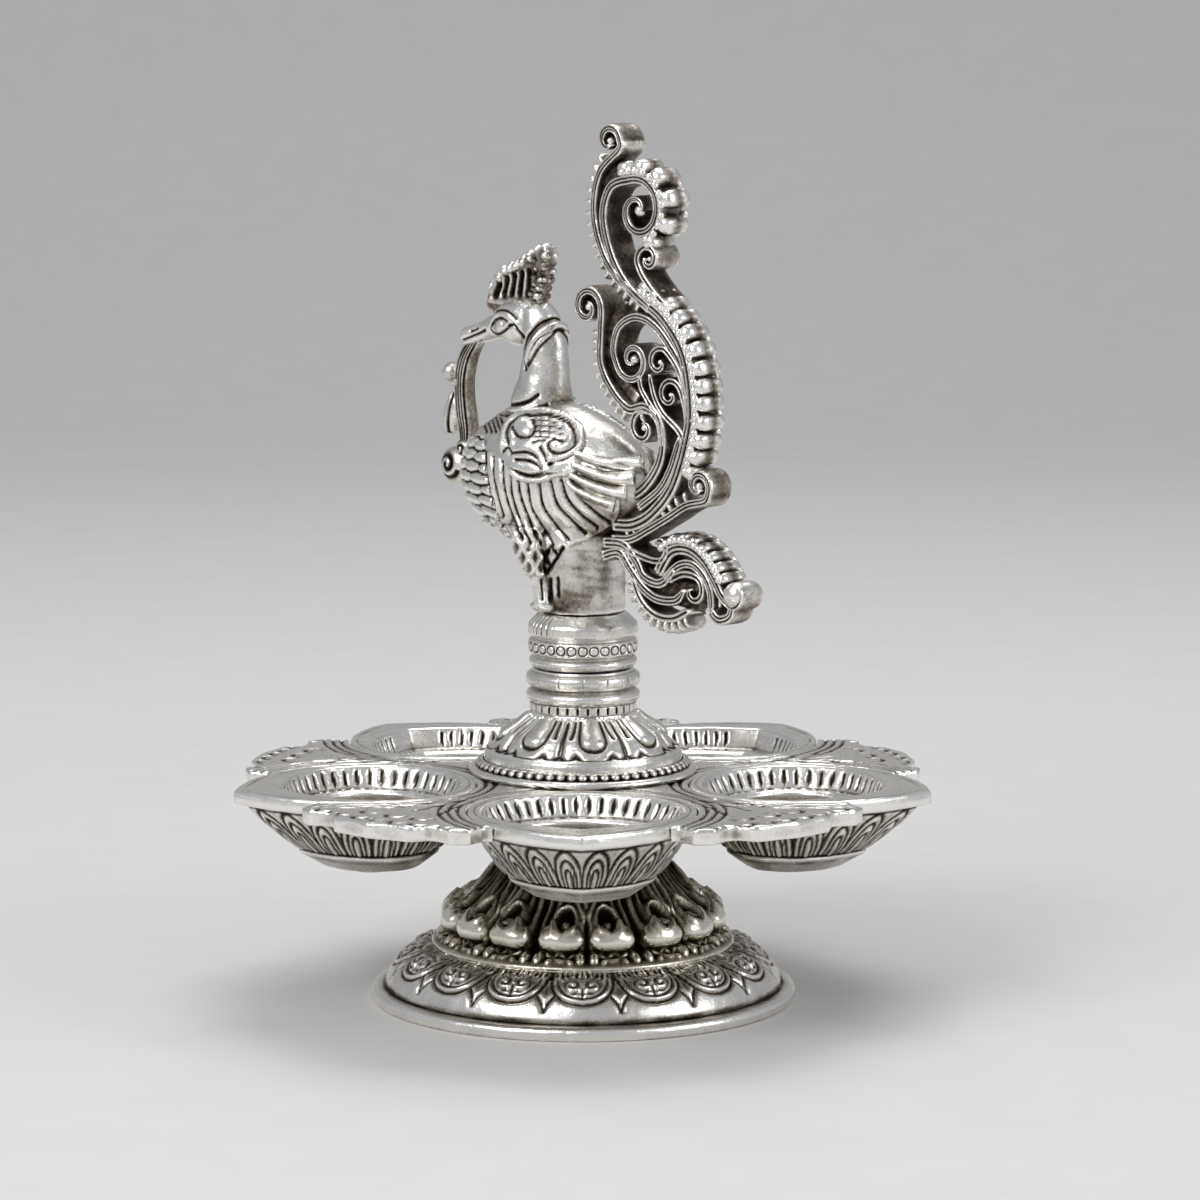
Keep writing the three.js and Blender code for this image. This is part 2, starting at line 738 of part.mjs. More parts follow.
// Vine: from the beak down to the breast, with a bud, a hanging leaf and a curl at its foot
function beakVine() {
  const tipX = -beakReach;
  const tipZ = headUp - beakDrop;
  const breastZ = bodyMidHeight + 2.6;
  const drop = tipZ - breastZ;
  const route = new THREE.CatmullRomCurve3([
    new THREE.Vector3(tipX + 4.5, 0, tipZ - 0.6),
    new THREE.Vector3(tipX + 1.6, 0, tipZ - 4.5),
    new THREE.Vector3(tipX - 0.6, 0, tipZ - 0.5 * drop),
    new THREE.Vector3(tipX + 0.2, 0, tipZ - 0.76 * drop),
    new THREE.Vector3(tipX + 3.5, 0, breastZ),
  ]);
  const section = new THREE.Shape();
  section.absellipse(0, 0, vineWidth / 2, vineThickness / 2, 0, 2 * Math.PI);
  const stalk = new THREE.ExtrudeGeometry(section, { steps: 8, curveSegments: 4, extrudePath: route });
  const bud = ball(tipX - 2.9, 0, tipZ - 0.38 * drop, 2.3, 2, 1.9, 6);
  const leaf = ball(tipX - 4, 0, tipZ - 0.6 * drop, 1.9, 1.6, 5.4, 6);
  const flower = ball(tipX + 0.6, 0, breastZ + 0.6, 2.6, 2.6, 2.4);
  const curl = sidePrism(new THREE.Shape().absarc(tipX - 1.2, breastZ - 3, 4.2, 0, 2 * Math.PI), -3, 3, 7);
  return joined([solid(stalk), bud, leaf, flower, curl])
    .subtract(torso(seatGap))
    .subtract(beak(seatGap));
}

// Points along a band: a smooth stem, then an optional curl that winds in to its eye
function bandPath({ stem, curl }) {
  const points = stem.map(([x, z]) => new THREE.Vector2(x, z).multiplyScalar(drawingUnit));
  const spiral = [];
  if (curl) {
    const turns = Math.ceil(Math.abs(curl.sweep) / curlStepDegrees);
    for (let i = 0; i <= turns; i += 1) {
      const angle = radians(curl.start + curl.sweep * i / turns);
      const radius = curl.outer + (curl.inner - curl.outer) * i / turns;
      const [x, z] = curl.eye;
      spiral.push(new THREE.Vector2(x + radius * Math.cos(angle), z + radius * Math.sin(angle))
        .multiplyScalar(drawingUnit));
    }
  }
  const stalk = new THREE.SplineCurve([...points, ...spiral.slice(0, 1)]);
  const steps = Math.max(2, Math.round(stalk.getLength() / bandStep));
  return [...stalk.getSpacedPoints(steps), ...spiral.slice(1)];
}

// Flat band along a path in the bird's upright plane, tapering from its root to its end
function band(shape, thickness, grow = 0) {
  const path = bandPath(shape);
  const last = path.length - 1;
  const [rootWidth, endWidth] = shape.width;
  const geometry = new THREE.BoxGeometry(1, 1, 1, last, 1, 1);
  const position = geometry.attributes.position;
  for (let i = 0; i < position.count; i += 1) {
    const step = Math.round((position.getX(i) + 0.5) * last);
    const before = path[Math.max(0, step - 1)];
    const after = path[Math.min(last, step + 1)];
    const along = after.clone().sub(before).normalize();
    const half = drawingUnit * (rootWidth + (endWidth - rootWidth) * step / last) / 2 + grow;
    const offset = 2 * position.getZ(i) * half;
    const x = path[step].x - along.y * offset;
    const z = path[step].y + along.x * offset;
    position.setXYZ(i, x, 2 * position.getY(i) * (thickness / 2 + grow), z);
  }
  return solid(geometry);
}

// Round lobes set side by side along one edge of a band, between two shares of its length; side is 1 on
// the left of its run and -1 on the right
function edgeLobes(shape, { from, to, side, count, radius, length, around }) {
  const curve = new THREE.SplineCurve(bandPath(shape));
  const [rootWidth, endWidth] = shape.width;
  return Array.from({ length: count }, (_, i) => {
    const share = from + (to - from) * i / (count - 1);
    const at = curve.getPointAt(share);
    const along = curve.getTangentAt(share);
    const edge = drawingUnit * (rootWidth + (endWidth - rootWidth) * share) / 2;
    const offset = side * (edge + lobeLift * radius);
    const geometry = new THREE.CylinderGeometry(radius, radius, length, around);
    geometry.translate(at.x - along.y * offset, 0, at.y + along.x * offset);
    return solid(geometry);
  });
}

// Scrolls of the tail, as [rearward, height] points above the plinth
const tailScrolls = {
  mainArch: {
    stem: [[12, 19.5], [17.8, 20], [23.3, 22.8], [28.8, 28.6], [32.6, 38], [33.6, 45.1], [31.6, 55.4],
      [25.6, 62.6], [17.5, 67.3], [11.9, 73.7], [9.1, 82.2], [11.1, 88.4]],
    curl: { eye: [18.9, 84], outer: 6.7, inner: 1.2, start: 112, sweep: -470 },
    width: [3.2, 2],
  },
  outerBand: {
    stem: [[22.2, 64.3], [12.1, 71], [7.8, 77.2], [6.2, 84.5], [8.1, 91.5]],
    curl: { eye: [10.6, 97.9], outer: 3.4, inner: 1, start: -30, sweep: 330 },
    width: [2.4, 1.8],
  },
  smallCurl: {
    stem: [[27.7, 64.6], [23.7, 67.6], [20.4, 70.9]],
    curl: { eye: [21.9, 74.3], outer: 3.1, inner: 0.8, start: 190, sweep: -380 },
    width: [2, 1.5],
  },
  leftFrame: {
    stem: [[13, 25], [18.5, 26.5], [22.3, 29.4], [25.1, 33.4], [25.9, 38], [24.6, 42.2], [20.8, 44.2],
      [16.2, 43.6], [11.4, 47.2], [8.2, 52.4], [8.2, 58.2]],
    curl: { eye: [4.4, 63.7], outer: 4.1, inner: 1, start: -8, sweep: 440 },
    width: [2.8, 1.8],
  },
  innerArch: {
    stem: [[33.3, 42], [32.3, 49.8], [29.9, 54.6], [24, 60.6], [18.4, 62.4], [13.6, 60.2], [12, 56]],
    curl: { eye: [17.4, 53.7], outer: 4.7, inner: 1, start: 190, sweep: 420 },
    width: [2.4, 1.6],
  },
  upperTendril: {
    stem: [[32.6, 46.5], [31.8, 49.5], [30, 53]],
    curl: { eye: [25, 53.6], outer: 3.1, inner: 0.8, start: 50, sweep: 330 },
    width: [1.8, 1.4],
  },
  lowerTendril: {
    stem: [[33, 41.5], [32.4, 45], [31, 48.4]],
    curl: { eye: [28, 47.2], outer: 3, inner: 0.8, start: 60, sweep: 330 },
    width: [1.8, 1.4],
  },
  leftSprig: { stem: [[25.6, 38.5], [24.9, 42], [22, 45.4], [20, 48], [19.4, 50.6]], width: [2, 1.4] },
  rightSprig: { stem: [[32.4, 37], [30.6, 40], [26, 43.4], [23.6, 46.8], [22.4, 51]], width: [2, 1.4] },
  footCurl: {
    stem: [[25.8, 36.6], [25.4, 40], [23.4, 43]],
    curl: { eye: [20.4, 39.9], outer: 3.8, inner: 0.8, start: 75, sweep: 380 },
    width: [2, 1.5],
  },
  midStem: { stem: [[19, 23.5], [25, 27.7], [28.2, 32.2], [30.8, 38.6]], width: [2.2, 2] },
  lowerEdge: {
    stem: [[11.5, 16.4], [16.6, 16.8], [21.8, 19.2], [27.5, 22.2], [32.6, 25]],
    curl: { eye: [35.8, 29.2], outer: 3.4, inner: 0.9, start: -60, sweep: 360 },
    width: [2.2, 2],
  },
  rootWeb: { stem: [[12, 22], [19, 23.5], [25, 29.5], [29.5, 36]], width: [5, 3], web: true },
  leftWeb: {
    stem: [[17.4, 45.4], [11.6, 50.4], [10, 56.5], [11.6, 61.5], [18, 65]],
    width: [2.8, 3.4],
    web: true,
  },
  headWeb: { stem: [[8.2, 77], [7.4, 84.5], [10, 90.5], [14.5, 92]], width: [2.6, 3.4], web: true },
};

const backLobe = { radius: lobeRadius, length: lobeLength, around: lobeSides };
const fringeLobe = { radius: fringeRadius, length: fringeLength, around: 6 };

// Upper tail: pierced fan of scrolls, lobed along its back and fringed along its front
function tailFan() {
  const bands = Object.values(tailScrolls).map((shape, i) =>
    band(shape, shape.web ? 0.45 * tailThickness : tailThickness - 0.05 * i));
  const fan = joined([
    ...bands,
    ...edgeLobes(tailScrolls.mainArch, { ...backLobe, from: 0.2, to: 0.5, side: -1, count: 13 }),
    ...edgeLobes(tailScrolls.mainArch, { ...backLobe, from: 0.735, to: 0.87, side: 1, count: 6 }),
    ...edgeLobes(tailScrolls.outerBand, { ...fringeLobe, from: 0.16, to: 0.62, side: 1, count: 7 }),
    ...edgeLobes(tailScrolls.leftFrame, { ...fringeLobe, from: 0.42, to: 0.62, side: 1, count: 5 }),
  ]);
  return fan.subtract(torso(seatGap));
}

// Knob that the lower tail's top band ends in
function endKnob() {
  const [x, z] = dropScrolls.upperArch.curl.eye.map((place) => drawingUnit * place);
  const geometry = new THREE.CylinderGeometry(knobRadius, knobRadius, dropThickness + 2, 12);
  geometry.translate(x, 0, z);
  return solid(geometry);
}

const dropScrolls = {
  upperBand: {
    stem: [[9, 15.5], [14.7, 15.4], [18.5, 12.2], [20.6, 9.4], [25.3, 8.5], [29.4, 11.6]],
    width: [2.6, 2.2],
  },
  crook: {
    stem: [[15.5, 14.6], [22, 13.2]],
    curl: { eye: [25, 15.6], outer: 2.5, inner: 1.4, start: -90, sweep: 220 },
    width: [2, 1.6],
  },
  upperArch: {
    stem: [[24.6, 10.6], [28.2, 15.2], [33, 16], [37.2, 14], [40.1, 10.9], [42.3, 7.7], [44.8, 5.9]],
    curl: { eye: [45.6, 8], outer: 2.2, inner: 1, start: -80, sweep: 250 },
    width: [3, 2],
  },
  middleArch: {
    stem: [[26.6, 9.6], [30.5, 12.6], [34.2, 13.1], [37.5, 11], [39.4, 7.6], [39.6, 3.6]],
    width: [2.2, 2],
  },
  innerArch: {
    stem: [[28, 9.4], [31.5, 10.9]],
    curl: { eye: [34.6, 7.7], outer: 3.2, inner: 0.9, start: 90, sweep: -290 },
    width: [1.9, 1.5],
  },
  lowerBand: {
    stem: [[8.5, 12.5], [13.3, 13.6], [16.4, 10.6], [20, 7.2], [24.3, 5.2], [29.5, 5.4], [32, 7.6]],
    width: [2.4, 2.2],
  },
  lowerEdge: { stem: [[17.3, 9], [19.6, 4.6], [23.6, 1.9], [28.6, 1.6], [33.4, 3.6]], width: [2, 2] },
  endFoot: { stem: [[38.6, 4.8], [41.4, 2.6], [44.6, 3.6], [45.2, 6.2]], width: [2.4, 2] },
  web: { stem: [[13, 13.6], [19, 9.6], [26, 7.2], [34, 6.4], [41, 6.4]], width: [4, 6.5], web: true },
};

// Lower tail: a drooping scroll under the fan, ending in a round knob
function tailDrop() {
  const bands = Object.values(dropScrolls).map((shape, i) =>
    band(shape, shape.web ? 0.45 * dropThickness : dropThickness - 0.05 * i));
  const drop = joined([
    ...bands,
    ...edgeLobes(dropScrolls.upperArch, { ...backLobe, from: 0.16, to: 0.62, side: 1, count: 6 }),
    ...edgeLobes(dropScrolls.lowerEdge, { ...fringeLobe, from: 0.02, to: 0.8, side: -1, count: 6 }),
    endKnob(),
  ]);
  return drop
    .subtract(torso(seatGap))
    .subtract(disc(legColumnRadius + seatGap, -1, bodyMidHeight, 24))
    .subtract(band(tailScrolls.lowerEdge, tailThickness, seatGap))
    .subtract(band(tailScrolls.rootWeb, tailThickness, seatGap));
}

const lamp = new THREE.Group();
lamp.add(
  piece('foot_rim', footRim(), 'bright', 0.28),
  piece('foot_dome', footDome(), 'silver'),
  piece('bell_stem', bellStem(), 'dark'),
  piece('tray_plate', trayPlate(), 'bright'),
  piece('boss_dome', bossDome(), 'bright'),
  piece('beaded_ring', beadedRing(), 'dark'),
  piece('fluted_collar', flutedCollar(), 'silver'),
  piece('ring_collar', ringCollar(), 'bright'),
  piece('pedestal', pedestal(), 'bright'),
  piece('plinth', plinth(), 'silver'),
  piece('tie_rod', tieRod(), 'steel'),
  piece('washer', washer(), 'steel'),
  piece('clamp_nut', clampNut(), 'steel'),
);

const cupBody = oilCup();
for (let i = 0; i < cupCount; i += 1) {
  const cup = piece(`cup_${i + 1}`, cupBody, 'silver');
  cup.rotation.z = cupAngle(i);
  lamp.add(cup);
}

const figure = new THREE.Group();
figure.position.z = figureFoot;
figure.rotation.z = radians(figureHeading);
figure.add(
  piece('bird_body', birdBody(), 'silver'),
  piece('left_wing', wing(-1), 'bright'),
  piece('right_wing', wing(1), 'bright'),
  piece('crest', crest(), 'dark'),
  piece('beak_vine', beakVine(), 'silver'),
  piece('tail_fan', tailFan(), 'silver'),
  piece('tail_drop', tailDrop(), 'silver'),
);
lamp.add(figure);

export default lamp;
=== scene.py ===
"""Peacock oil lamp in oxidised silver metal: the dressed pieces that stand over its CAD frame.

Sizes in this file are millimetres unless a name ends in _m. The stack's axis is Z. The figure is drawn
in its own upright frame, [rearward, side, height above the plinth], and then turned to its heading.
"""
import math
from contextlib import contextmanager
from typing import NamedTuple

import bpy
import numpy as np
from bpy.props import FloatProperty, IntProperty, PointerProperty, StringProperty
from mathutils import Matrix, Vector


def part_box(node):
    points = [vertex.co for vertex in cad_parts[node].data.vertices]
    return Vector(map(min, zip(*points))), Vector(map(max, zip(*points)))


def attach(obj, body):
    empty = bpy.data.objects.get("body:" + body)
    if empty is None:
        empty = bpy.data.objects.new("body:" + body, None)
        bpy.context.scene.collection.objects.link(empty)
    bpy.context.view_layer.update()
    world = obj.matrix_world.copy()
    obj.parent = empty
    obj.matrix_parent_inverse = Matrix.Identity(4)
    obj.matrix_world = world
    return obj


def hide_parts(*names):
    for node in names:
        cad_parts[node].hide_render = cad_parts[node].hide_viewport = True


bl_info = {
    "name": "Peacock Oil Lamp",
    "version": (1, 0, 0),
    "blender": (4, 5, 0),
    "location": "3D View > Sidebar > Lamp",
    "description": "Builds the carved and oxidised pieces of a five-cup peacock oil lamp",
    "category": "Object",
}

MM = 0.001
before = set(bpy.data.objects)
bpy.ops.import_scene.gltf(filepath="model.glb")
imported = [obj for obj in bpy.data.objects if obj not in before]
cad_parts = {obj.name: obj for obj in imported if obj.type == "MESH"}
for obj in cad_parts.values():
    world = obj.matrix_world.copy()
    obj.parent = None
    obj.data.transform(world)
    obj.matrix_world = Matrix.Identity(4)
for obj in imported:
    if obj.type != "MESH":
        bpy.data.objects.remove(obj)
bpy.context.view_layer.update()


def node_box(name):
    """Lowest and highest corner of a CAD node, in millimetres."""
    low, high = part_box(name)
    return np.array(low) / MM, np.array(high) / MM


# Heights of the stack, read from the frame
RIM_TOP = node_box("foot_rim")[1][2]
BELL_FOOT = node_box("bell_stem")[0][2]
BELL_TOP = node_box("bell_stem")[1][2]
TRAY_TOP = node_box("tray_plate")[1][2]
CUP_BASE = node_box("cup_1")[0][2]
BOSS_TOP = node_box("boss_dome")[1][2]
FLUTE_TOP = node_box("fluted_collar")[1][2]
COLLAR_TOP = node_box("ring_collar")[1][2]
PEDESTAL_FOOT = node_box("pedestal")[0][2]
PLINTH_FOOT = node_box("plinth")[0][2]
FIGURE_FOOT = node_box("plinth")[1][2]
RIM_RADIUS = node_box("foot_rim")[1][0]
BOSS_RADIUS = node_box("boss_dome")[1][0]
BORE_RADIUS = 3.35
# The bird faces the front left, as in the photograph
HEADING = math.radians(-45)


# Selecting and finishing pieces

def deselect_all():
    if bpy.context.object and bpy.context.object.mode != "OBJECT":
        bpy.ops.object.mode_set(mode="OBJECT")
    bpy.ops.object.select_all(action="DESELECT")


def select_only(*pieces):
    deselect_all()
    for piece in pieces:
        piece.select_set(True)
    bpy.context.view_layer.objects.active = pieces[0]


def named(piece, name):
    piece.name = name
    piece.data.name = name
    return piece


@contextmanager
def editing(action=None):
    """Edit mode on the active piece, with all of it picked or none of it where action says so."""
    bpy.ops.object.mode_set(mode="EDIT")
    if action:
        bpy.ops.mesh.select_all(action=action)
    yield
    bpy.ops.object.mode_set(mode="OBJECT")


def close_mesh(piece, gap=1e-3):
    """Merges doubled points and turns every face outwards."""
    select_only(piece)
    with editing("SELECT"):
        bpy.ops.mesh.remove_doubles(threshold=gap * MM)
        bpy.ops.mesh.normals_make_consistent(inside=False)
    return piece


def joined(pieces, name):
    """The pieces as one, in one object."""
    select_only(*pieces)
    if len(pieces) > 1:
        bpy.ops.object.join()
    return named(bpy.context.object, name)


def mount(piece, body, nodes, material):
    """Gives a finished piece its finish and its moving body, and hides the CAD nodes that it stands for.
    """
    select_only(piece)
    bpy.ops.object.shade_smooth()
    piece.data.materials.clear()
    piece.data.materials.append(material)
    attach(piece, body)
    if nodes:
        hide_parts(*nodes)


# Points of a mesh as arrays

def points_of(piece):
    flat = np.empty(3 * len(piece.data.vertices))
    piece.data.vertices.foreach_get("co", flat)
    return flat.reshape(-1, 3) / MM


def set_points(piece, points):
    piece.data.vertices.foreach_set("co", (points * MM).ravel())
    piece.data.update()


def normals_of(piece):
    flat = np.empty(3 * len(piece.data.vertices))
    piece.data.vertex_normals.foreach_get("vector", flat)
    return flat.reshape(-1, 3)


def links_of(piece):
    flat = np.empty(2 * len(piece.data.edges), dtype=np.int32)
    piece.data.edges.foreach_get("vertices", flat)
    return flat.reshape(-1, 2)


def averaged(values, links, rounds):
    """Each point's values blended with those of its neighbours, rounds times."""
    a, b = links.T
    count = len(values)
    weight = np.maximum(np.bincount(a, minlength=count) + np.bincount(b, minlength=count), 1)
    for _ in range(rounds):
        total = np.stack([
            np.bincount(a, column[b], count) + np.bincount(b, column[a], count)
            for column in values.T
        ], axis=1)
        values = 0.5 * (values + total / weight[:, None])
    return values


def relief(piece, height):
    """Raises each point along its normal by height."""
    set_points(piece, points_of(piece) + normals_of(piece) * height[:, None])


def waver(points, size, seed):
    """Smooth wander between -1 and 1 over about size millimetres, as hand casting leaves."""
    turn = np.random.default_rng(seed)
    total = np.zeros(len(points))
    for _ in range(6):
        direction = turn.normal(size=3)
        direction /= np.linalg.norm(direction)
        phase = turn.uniform(0, 2 * math.pi)
        total += np.sin(points @ direction * 2 * math.pi / (size * turn.uniform(0.7, 1.5)) + phase)
    return total / 6


def age_and_shade(piece, stain=0.0, recess=0.26, wide=22):
    """Marks each point's patina and painted shade: 0 rubbed bright on crests, 1 black in recesses; stain
    adds stains and wear, and on some pieces painted shade.
    """
    points = points_of(piece)
    normals = normals_of(piece)
    links = links_of(piece)
    near = averaged(points, links, 4)
    far = averaged(near, links, wide)
    narrow_hollow = np.einsum("ij,ij->i", near - points, normals) / recess
    broad_hollow = np.einsum("ij,ij->i", far - points, normals) / (5 * recess)
    patina_and_shade = np.clip(0.29 + 0.6 * narrow_hollow + 0.75 * broad_hollow + stain, 0, 1)
    layer = piece.data.attributes.get("patina_and_shade") or piece.data.attributes.new("patina_and_shade", "FLOAT", "POINT")
    layer.data.foreach_set("value", patina_and_shade.astype(np.float32))


# Lines and outlines that ornament is drawn with

def run_along(line):
    """Distance along a line to each of its points."""
    return np.concatenate([[0], np.cumsum(np.linalg.norm(np.diff(line, axis=0), axis=1))])


def resampled(line, step):
    """The same line with its points evenly spaced, about step apart."""
    run = run_along(line)
    count = max(2, int(round(run[-1] / step)) + 1)
    at = np.linspace(0, run[-1], count)
    return np.stack([np.interp(at, run, column) for column in line.T], axis=1)


def smooth_line(points, step=0.6, closed=False):
    """Smooth line through points, evenly spaced."""
    points = np.asarray(points, float)
    if closed:
        points = np.vstack([points[-1:], points, points[:2]])
    else:
        points = np.vstack([2 * points[0] - points[1], points, 2 * points[-1] - points[-2]])
    share = np.linspace(0, 1, 12, endpoint=False)[:, None]
    parts = []
    for a, b, c, d in zip(points[:-3], points[1:-2], points[2:-1], points[3:]):
        parts.append(0.5 * (
            2 * b + (c - a) * share + (2 * a - 5 * b + 4 * c - d) * share ** 2
            + (3 * b - a - 3 * c + d) * share ** 3
        ))
    parts.append(points[-2:-1])
    return resampled(np.vstack(parts), step)


def spiral(eye, outer, inner, start, sweep, steps):
    """Curl that winds round its eye from an outer to an inner radius; angles in degrees."""
    share = np.linspace(0, 1, steps)
    angle = np.radians(start + sweep * share)
    radius = outer + (inner - outer) * share
    return np.stack([eye[0] + radius * np.cos(angle), eye[1] + radius * np.sin(angle)], axis=1)


def circle_line(centre, radius):
    return spiral(centre, radius, radius, 0, 360, 25)


def mirrored(line):
    return np.asarray(line, float) * [-1, 1]


def both_ways(lines):
    """Lines with their mirror images."""
    return lines + [mirrored(line) for line in lines]


def distance(points, line, reach):
    """Distance in the plane from each point to a line, or reach where it is further."""
    line = np.asarray(line, float)
    found = np.full(len(points), reach)
    near = np.all((points > line.min(0) - reach) & (points < line.max(0) + reach), axis=1)
    spot = points[near]
    if len(spot):
        best = found[near]
        for a, b in zip(line[:-1], line[1:]):
            run = b - a
            share = np.clip((spot - a) @ run / max(run @ run, 1e-9), 0, 1)
            gap = spot - a - share[:, None] * run
            best = np.minimum(best, np.hypot(gap[:, 0], gap[:, 1]))
        found[near] = best
    return found


def traced(points, lines, width):
    """1 on the lines, falling to nearly 0 two widths away."""
    nearest = np.full(len(points), 3 * width)
    for line in lines:
        nearest = np.minimum(nearest, distance(points, line, 3 * width))
    return crease(nearest, width) * (nearest < 3 * width)


def drawn(points, width, *lines, step=0.6):
    """traced, for lines that are given as the points of smooth curves."""
    return traced(points, [smooth_line(line, step) for line in lines], width)


def inside(points, outline):
    """Signed distance to a closed outline, positive inside it."""
    outline = np.asarray(outline, float)
    ring = np.vstack([outline, outline[:1]])
    gap = distance(points, ring, 40.0)
    x, y = points.T
    crossings = np.zeros(len(points), dtype=bool)
    for (x0, y0), (x1, y1) in zip(ring[:-1], ring[1:]):
        if y0 != y1:
            meets = ((y0 > y) != (y1 > y)) & (x < (x1 - x0) * (y - y0) / (y1 - y0) + x0)
            crossings ^= meets
    return np.where(crossings, gap, -gap)


def dome(points, centre, radius):
    """Round pellet: 1 at its middle, 0 at its edge."""
    gap = np.hypot(points[:, 0] - centre[0], points[:, 1] - centre[1]) / radius
    return np.sqrt(np.clip(1 - gap ** 2, 0, None))


def crease(value, width):
    """1 where value is zero, falling to nearly 0 two widths away."""
    return np.exp(-(value / width) ** 2)


def step_up(value, width):
    """0 below zero, 1 above width, rounded between."""
    share = np.clip(value / width, 0, 1)
    return share * share * (3 - 2 * share)


def between(value, low, low_ease, high, high_ease):
    """1 between low and high, eased up past low and down past high."""
    return step_up(value - low, low_ease) * (1 - step_up(value - high, high_ease))


def square_to(route):
    """Unit direction square to a plane route at each of its points."""
    along = np.gradient(route, axis=0)
    return np.stack([-along[:, 1], along[:, 0]], axis=1) / np.linalg.norm(along, axis=1)[:, None]


# Shapes that pieces start from

def spun(name, profile, steps):
    """Closed loop of [radius, height] spun about the stack's axis."""
    deselect_all()
    bpy.ops.mesh.primitive_circle_add(vertices=len(profile), radius=MM)
    ring = bpy.context.object
    for vertex, (radius, height) in zip(ring.data.vertices, profile):
        vertex.co = (0, -radius * MM, height * MM)
    with editing("SELECT"):
        bpy.ops.mesh.spin(steps=steps, angle=2 * math.pi, center=(0, 0, 0), axis=(0, 0, 1))
    return named(close_mesh(ring), name)


def moulding(corners, step, ease):
    """Loop through [radius, height] corners, each eased by a small round and cut into short steps."""
    corners = np.asarray(corners, float)
    parts = []
    for i, corner in enumerate(corners):
        before = corners[i - 1] - corner
        after = corners[(i + 1) % len(corners)] - corner
        back = min(ease, 0.45 * np.linalg.norm(before))
        on = min(ease, 0.45 * np.linalg.norm(after))
        start = corner + before / np.linalg.norm(before) * back
        end = corner + after / np.linalg.norm(after) * on
        share = np.linspace(0, 1, 5)[:, None]
        parts.append((1 - share) ** 2 * start + 2 * share * (1 - share) * corner + share ** 2 * end)
    loop = np.vstack(parts + [parts[0][:1]])
    return resampled(loop, step)[:-1]


def wrapped(name, rows):
    """Skin through rows of points, each row a closed ring; a row of one repeated point closes an end."""
    rows = np.asarray(rows, float)
    count, around, _ = rows.shape
    deselect_all()
    bpy.ops.mesh.primitive_grid_add(x_subdivisions=around, y_subdivisions=count - 1, size=MM)
    sheet = bpy.context.object
    ring = np.concatenate([rows, rows[:, :1]], axis=1)
    set_points(sheet, ring.reshape(-1, 3))
    return named(close_mesh(sheet), name)


def capped(rows):
    """Rows with both ends drawn together to their centres."""
    rows = np.asarray(rows, float)
    first = np.repeat(rows[:1].mean(axis=1, keepdims=True), rows.shape[1], axis=1)
    last = np.repeat(rows[-1:].mean(axis=1, keepdims=True), rows.shape[1], axis=1)
    return np.concatenate([first, rows, last])


def limb(name, stations, around=32):
    """Round limb through [rearward, side, height, radius] stations, its sections square to its run."""
    route = smooth_line(stations, 0.5)
    centres, radii = route[:, :3], route[:, 3]
    along = np.gradient(centres, axis=0)
    along /= np.linalg.norm(along, axis=1)[:, None]
    angle = np.linspace(0, 2 * math.pi, around, endpoint=False)
    rows = []
    for centre, run, radius in zip(centres, along, radii):
        across = np.cross(run, [0, 1, 0]) if abs(run[1]) < 0.9 else np.cross(run, [0, 0, 1])
        across /= np.linalg.norm(across)
        other = np.cross(run, across)
        rows.append(centre + radius * (
            np.cos(angle)[:, None] * across + np.sin(angle)[:, None] * other
        ))
    return wrapped(name, capped(rows))


def pebble(name, centre, half, segments=32, rings=20):
    """Ellipsoid from a sphere, with its half lengths."""
    deselect_all()
    bpy.ops.mesh.primitive_uv_sphere_add(segments=segments, ring_count=rings, radius=MM)
    ball = named(bpy.context.object, name)
    set_points(ball, points_of(ball) * half + centre)
    return ball


def remeshed(piece, size, rounds):
    """One skin of small even faces over a piece's joined solids, smoothed."""
    select_only(piece)
    skin = piece.modifiers.new("skin", "REMESH")
    skin.mode = "VOXEL"
    skin.voxel_size = size * MM
    bpy.ops.object.modifier_apply(modifier=skin.name)
    soften = piece.modifiers.new("soften", "SMOOTH")
    soften.factor = 0.5
    soften.iterations = rounds
    bpy.ops.object.modifier_apply(modifier=soften.name)
    return piece


def copy_of_node(node, name):
    """Merged copy of a CAD node's mesh, to be dressed."""
    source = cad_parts[node]
    copy = bpy.data.objects.new(name, source.data.copy())
    bpy.context.collection.objects.link(copy)
    world = np.array(source.matrix_world)
    points = points_of(copy)
    set_points(copy, points @ world[:3, :3].T + world[:3, 3] / MM)
    copy.data.materials.clear()
    return close_mesh(copy, 1e-2)


def duplicates(piece, places):
    """Copies of a piece, each with its own mesh, moved by a function of its points."""
    copies = []
    source = points_of(piece)
    for place in places:
        copy = piece.copy()
        copy.data = piece.data.copy()
        bpy.context.collection.objects.link(copy)
        set_points(copy, place(source))
        copies.append(copy)
    bpy.data.objects.remove(piece)
    return copies


def turned_about_axis(angle):
    c, s = math.cos(angle), math.sin(angle)
    return lambda points: points @ np.array([[c, s, 0], [-s, c, 0], [0, 0, 1]])


def seat_figure(piece):
    """From the figure's own frame to its heading on the plinth."""
    points = turned_about_axis(HEADING)(points_of(piece))
    points[:, 2] += FIGURE_FOOT
    set_points(piece, points)
    return piece


def mount_figure(piece, *nodes):
    """Seats and mounts a piece of the peacock. It stands for the named CAD nodes, if there are any."""
    mount(seat_figure(piece), "figure", nodes, finish("figure"))


def polar(points):
    """Angle and radius of each point about the axis."""
    return np.arctan2(points[:, 1], points[:, 0]), np.hypot(points[:, 0], points[:, 1])


def sector(angle, count, phase=-math.pi / 2):
    """Angle within its share of count equal shares: -0.5 to 0.5 across the share."""
    return ((angle - phase) * count / (2 * math.pi) + 0.5) % 1 - 0.5


def on_profile(points, profile, reach):
    """Whether each point lies within reach of a spun outer profile."""
    _, radius = polar(points)
    return np.abs(radius - np.interp(points[:, 2], profile[:, 1], profile[:, 0])) < reach


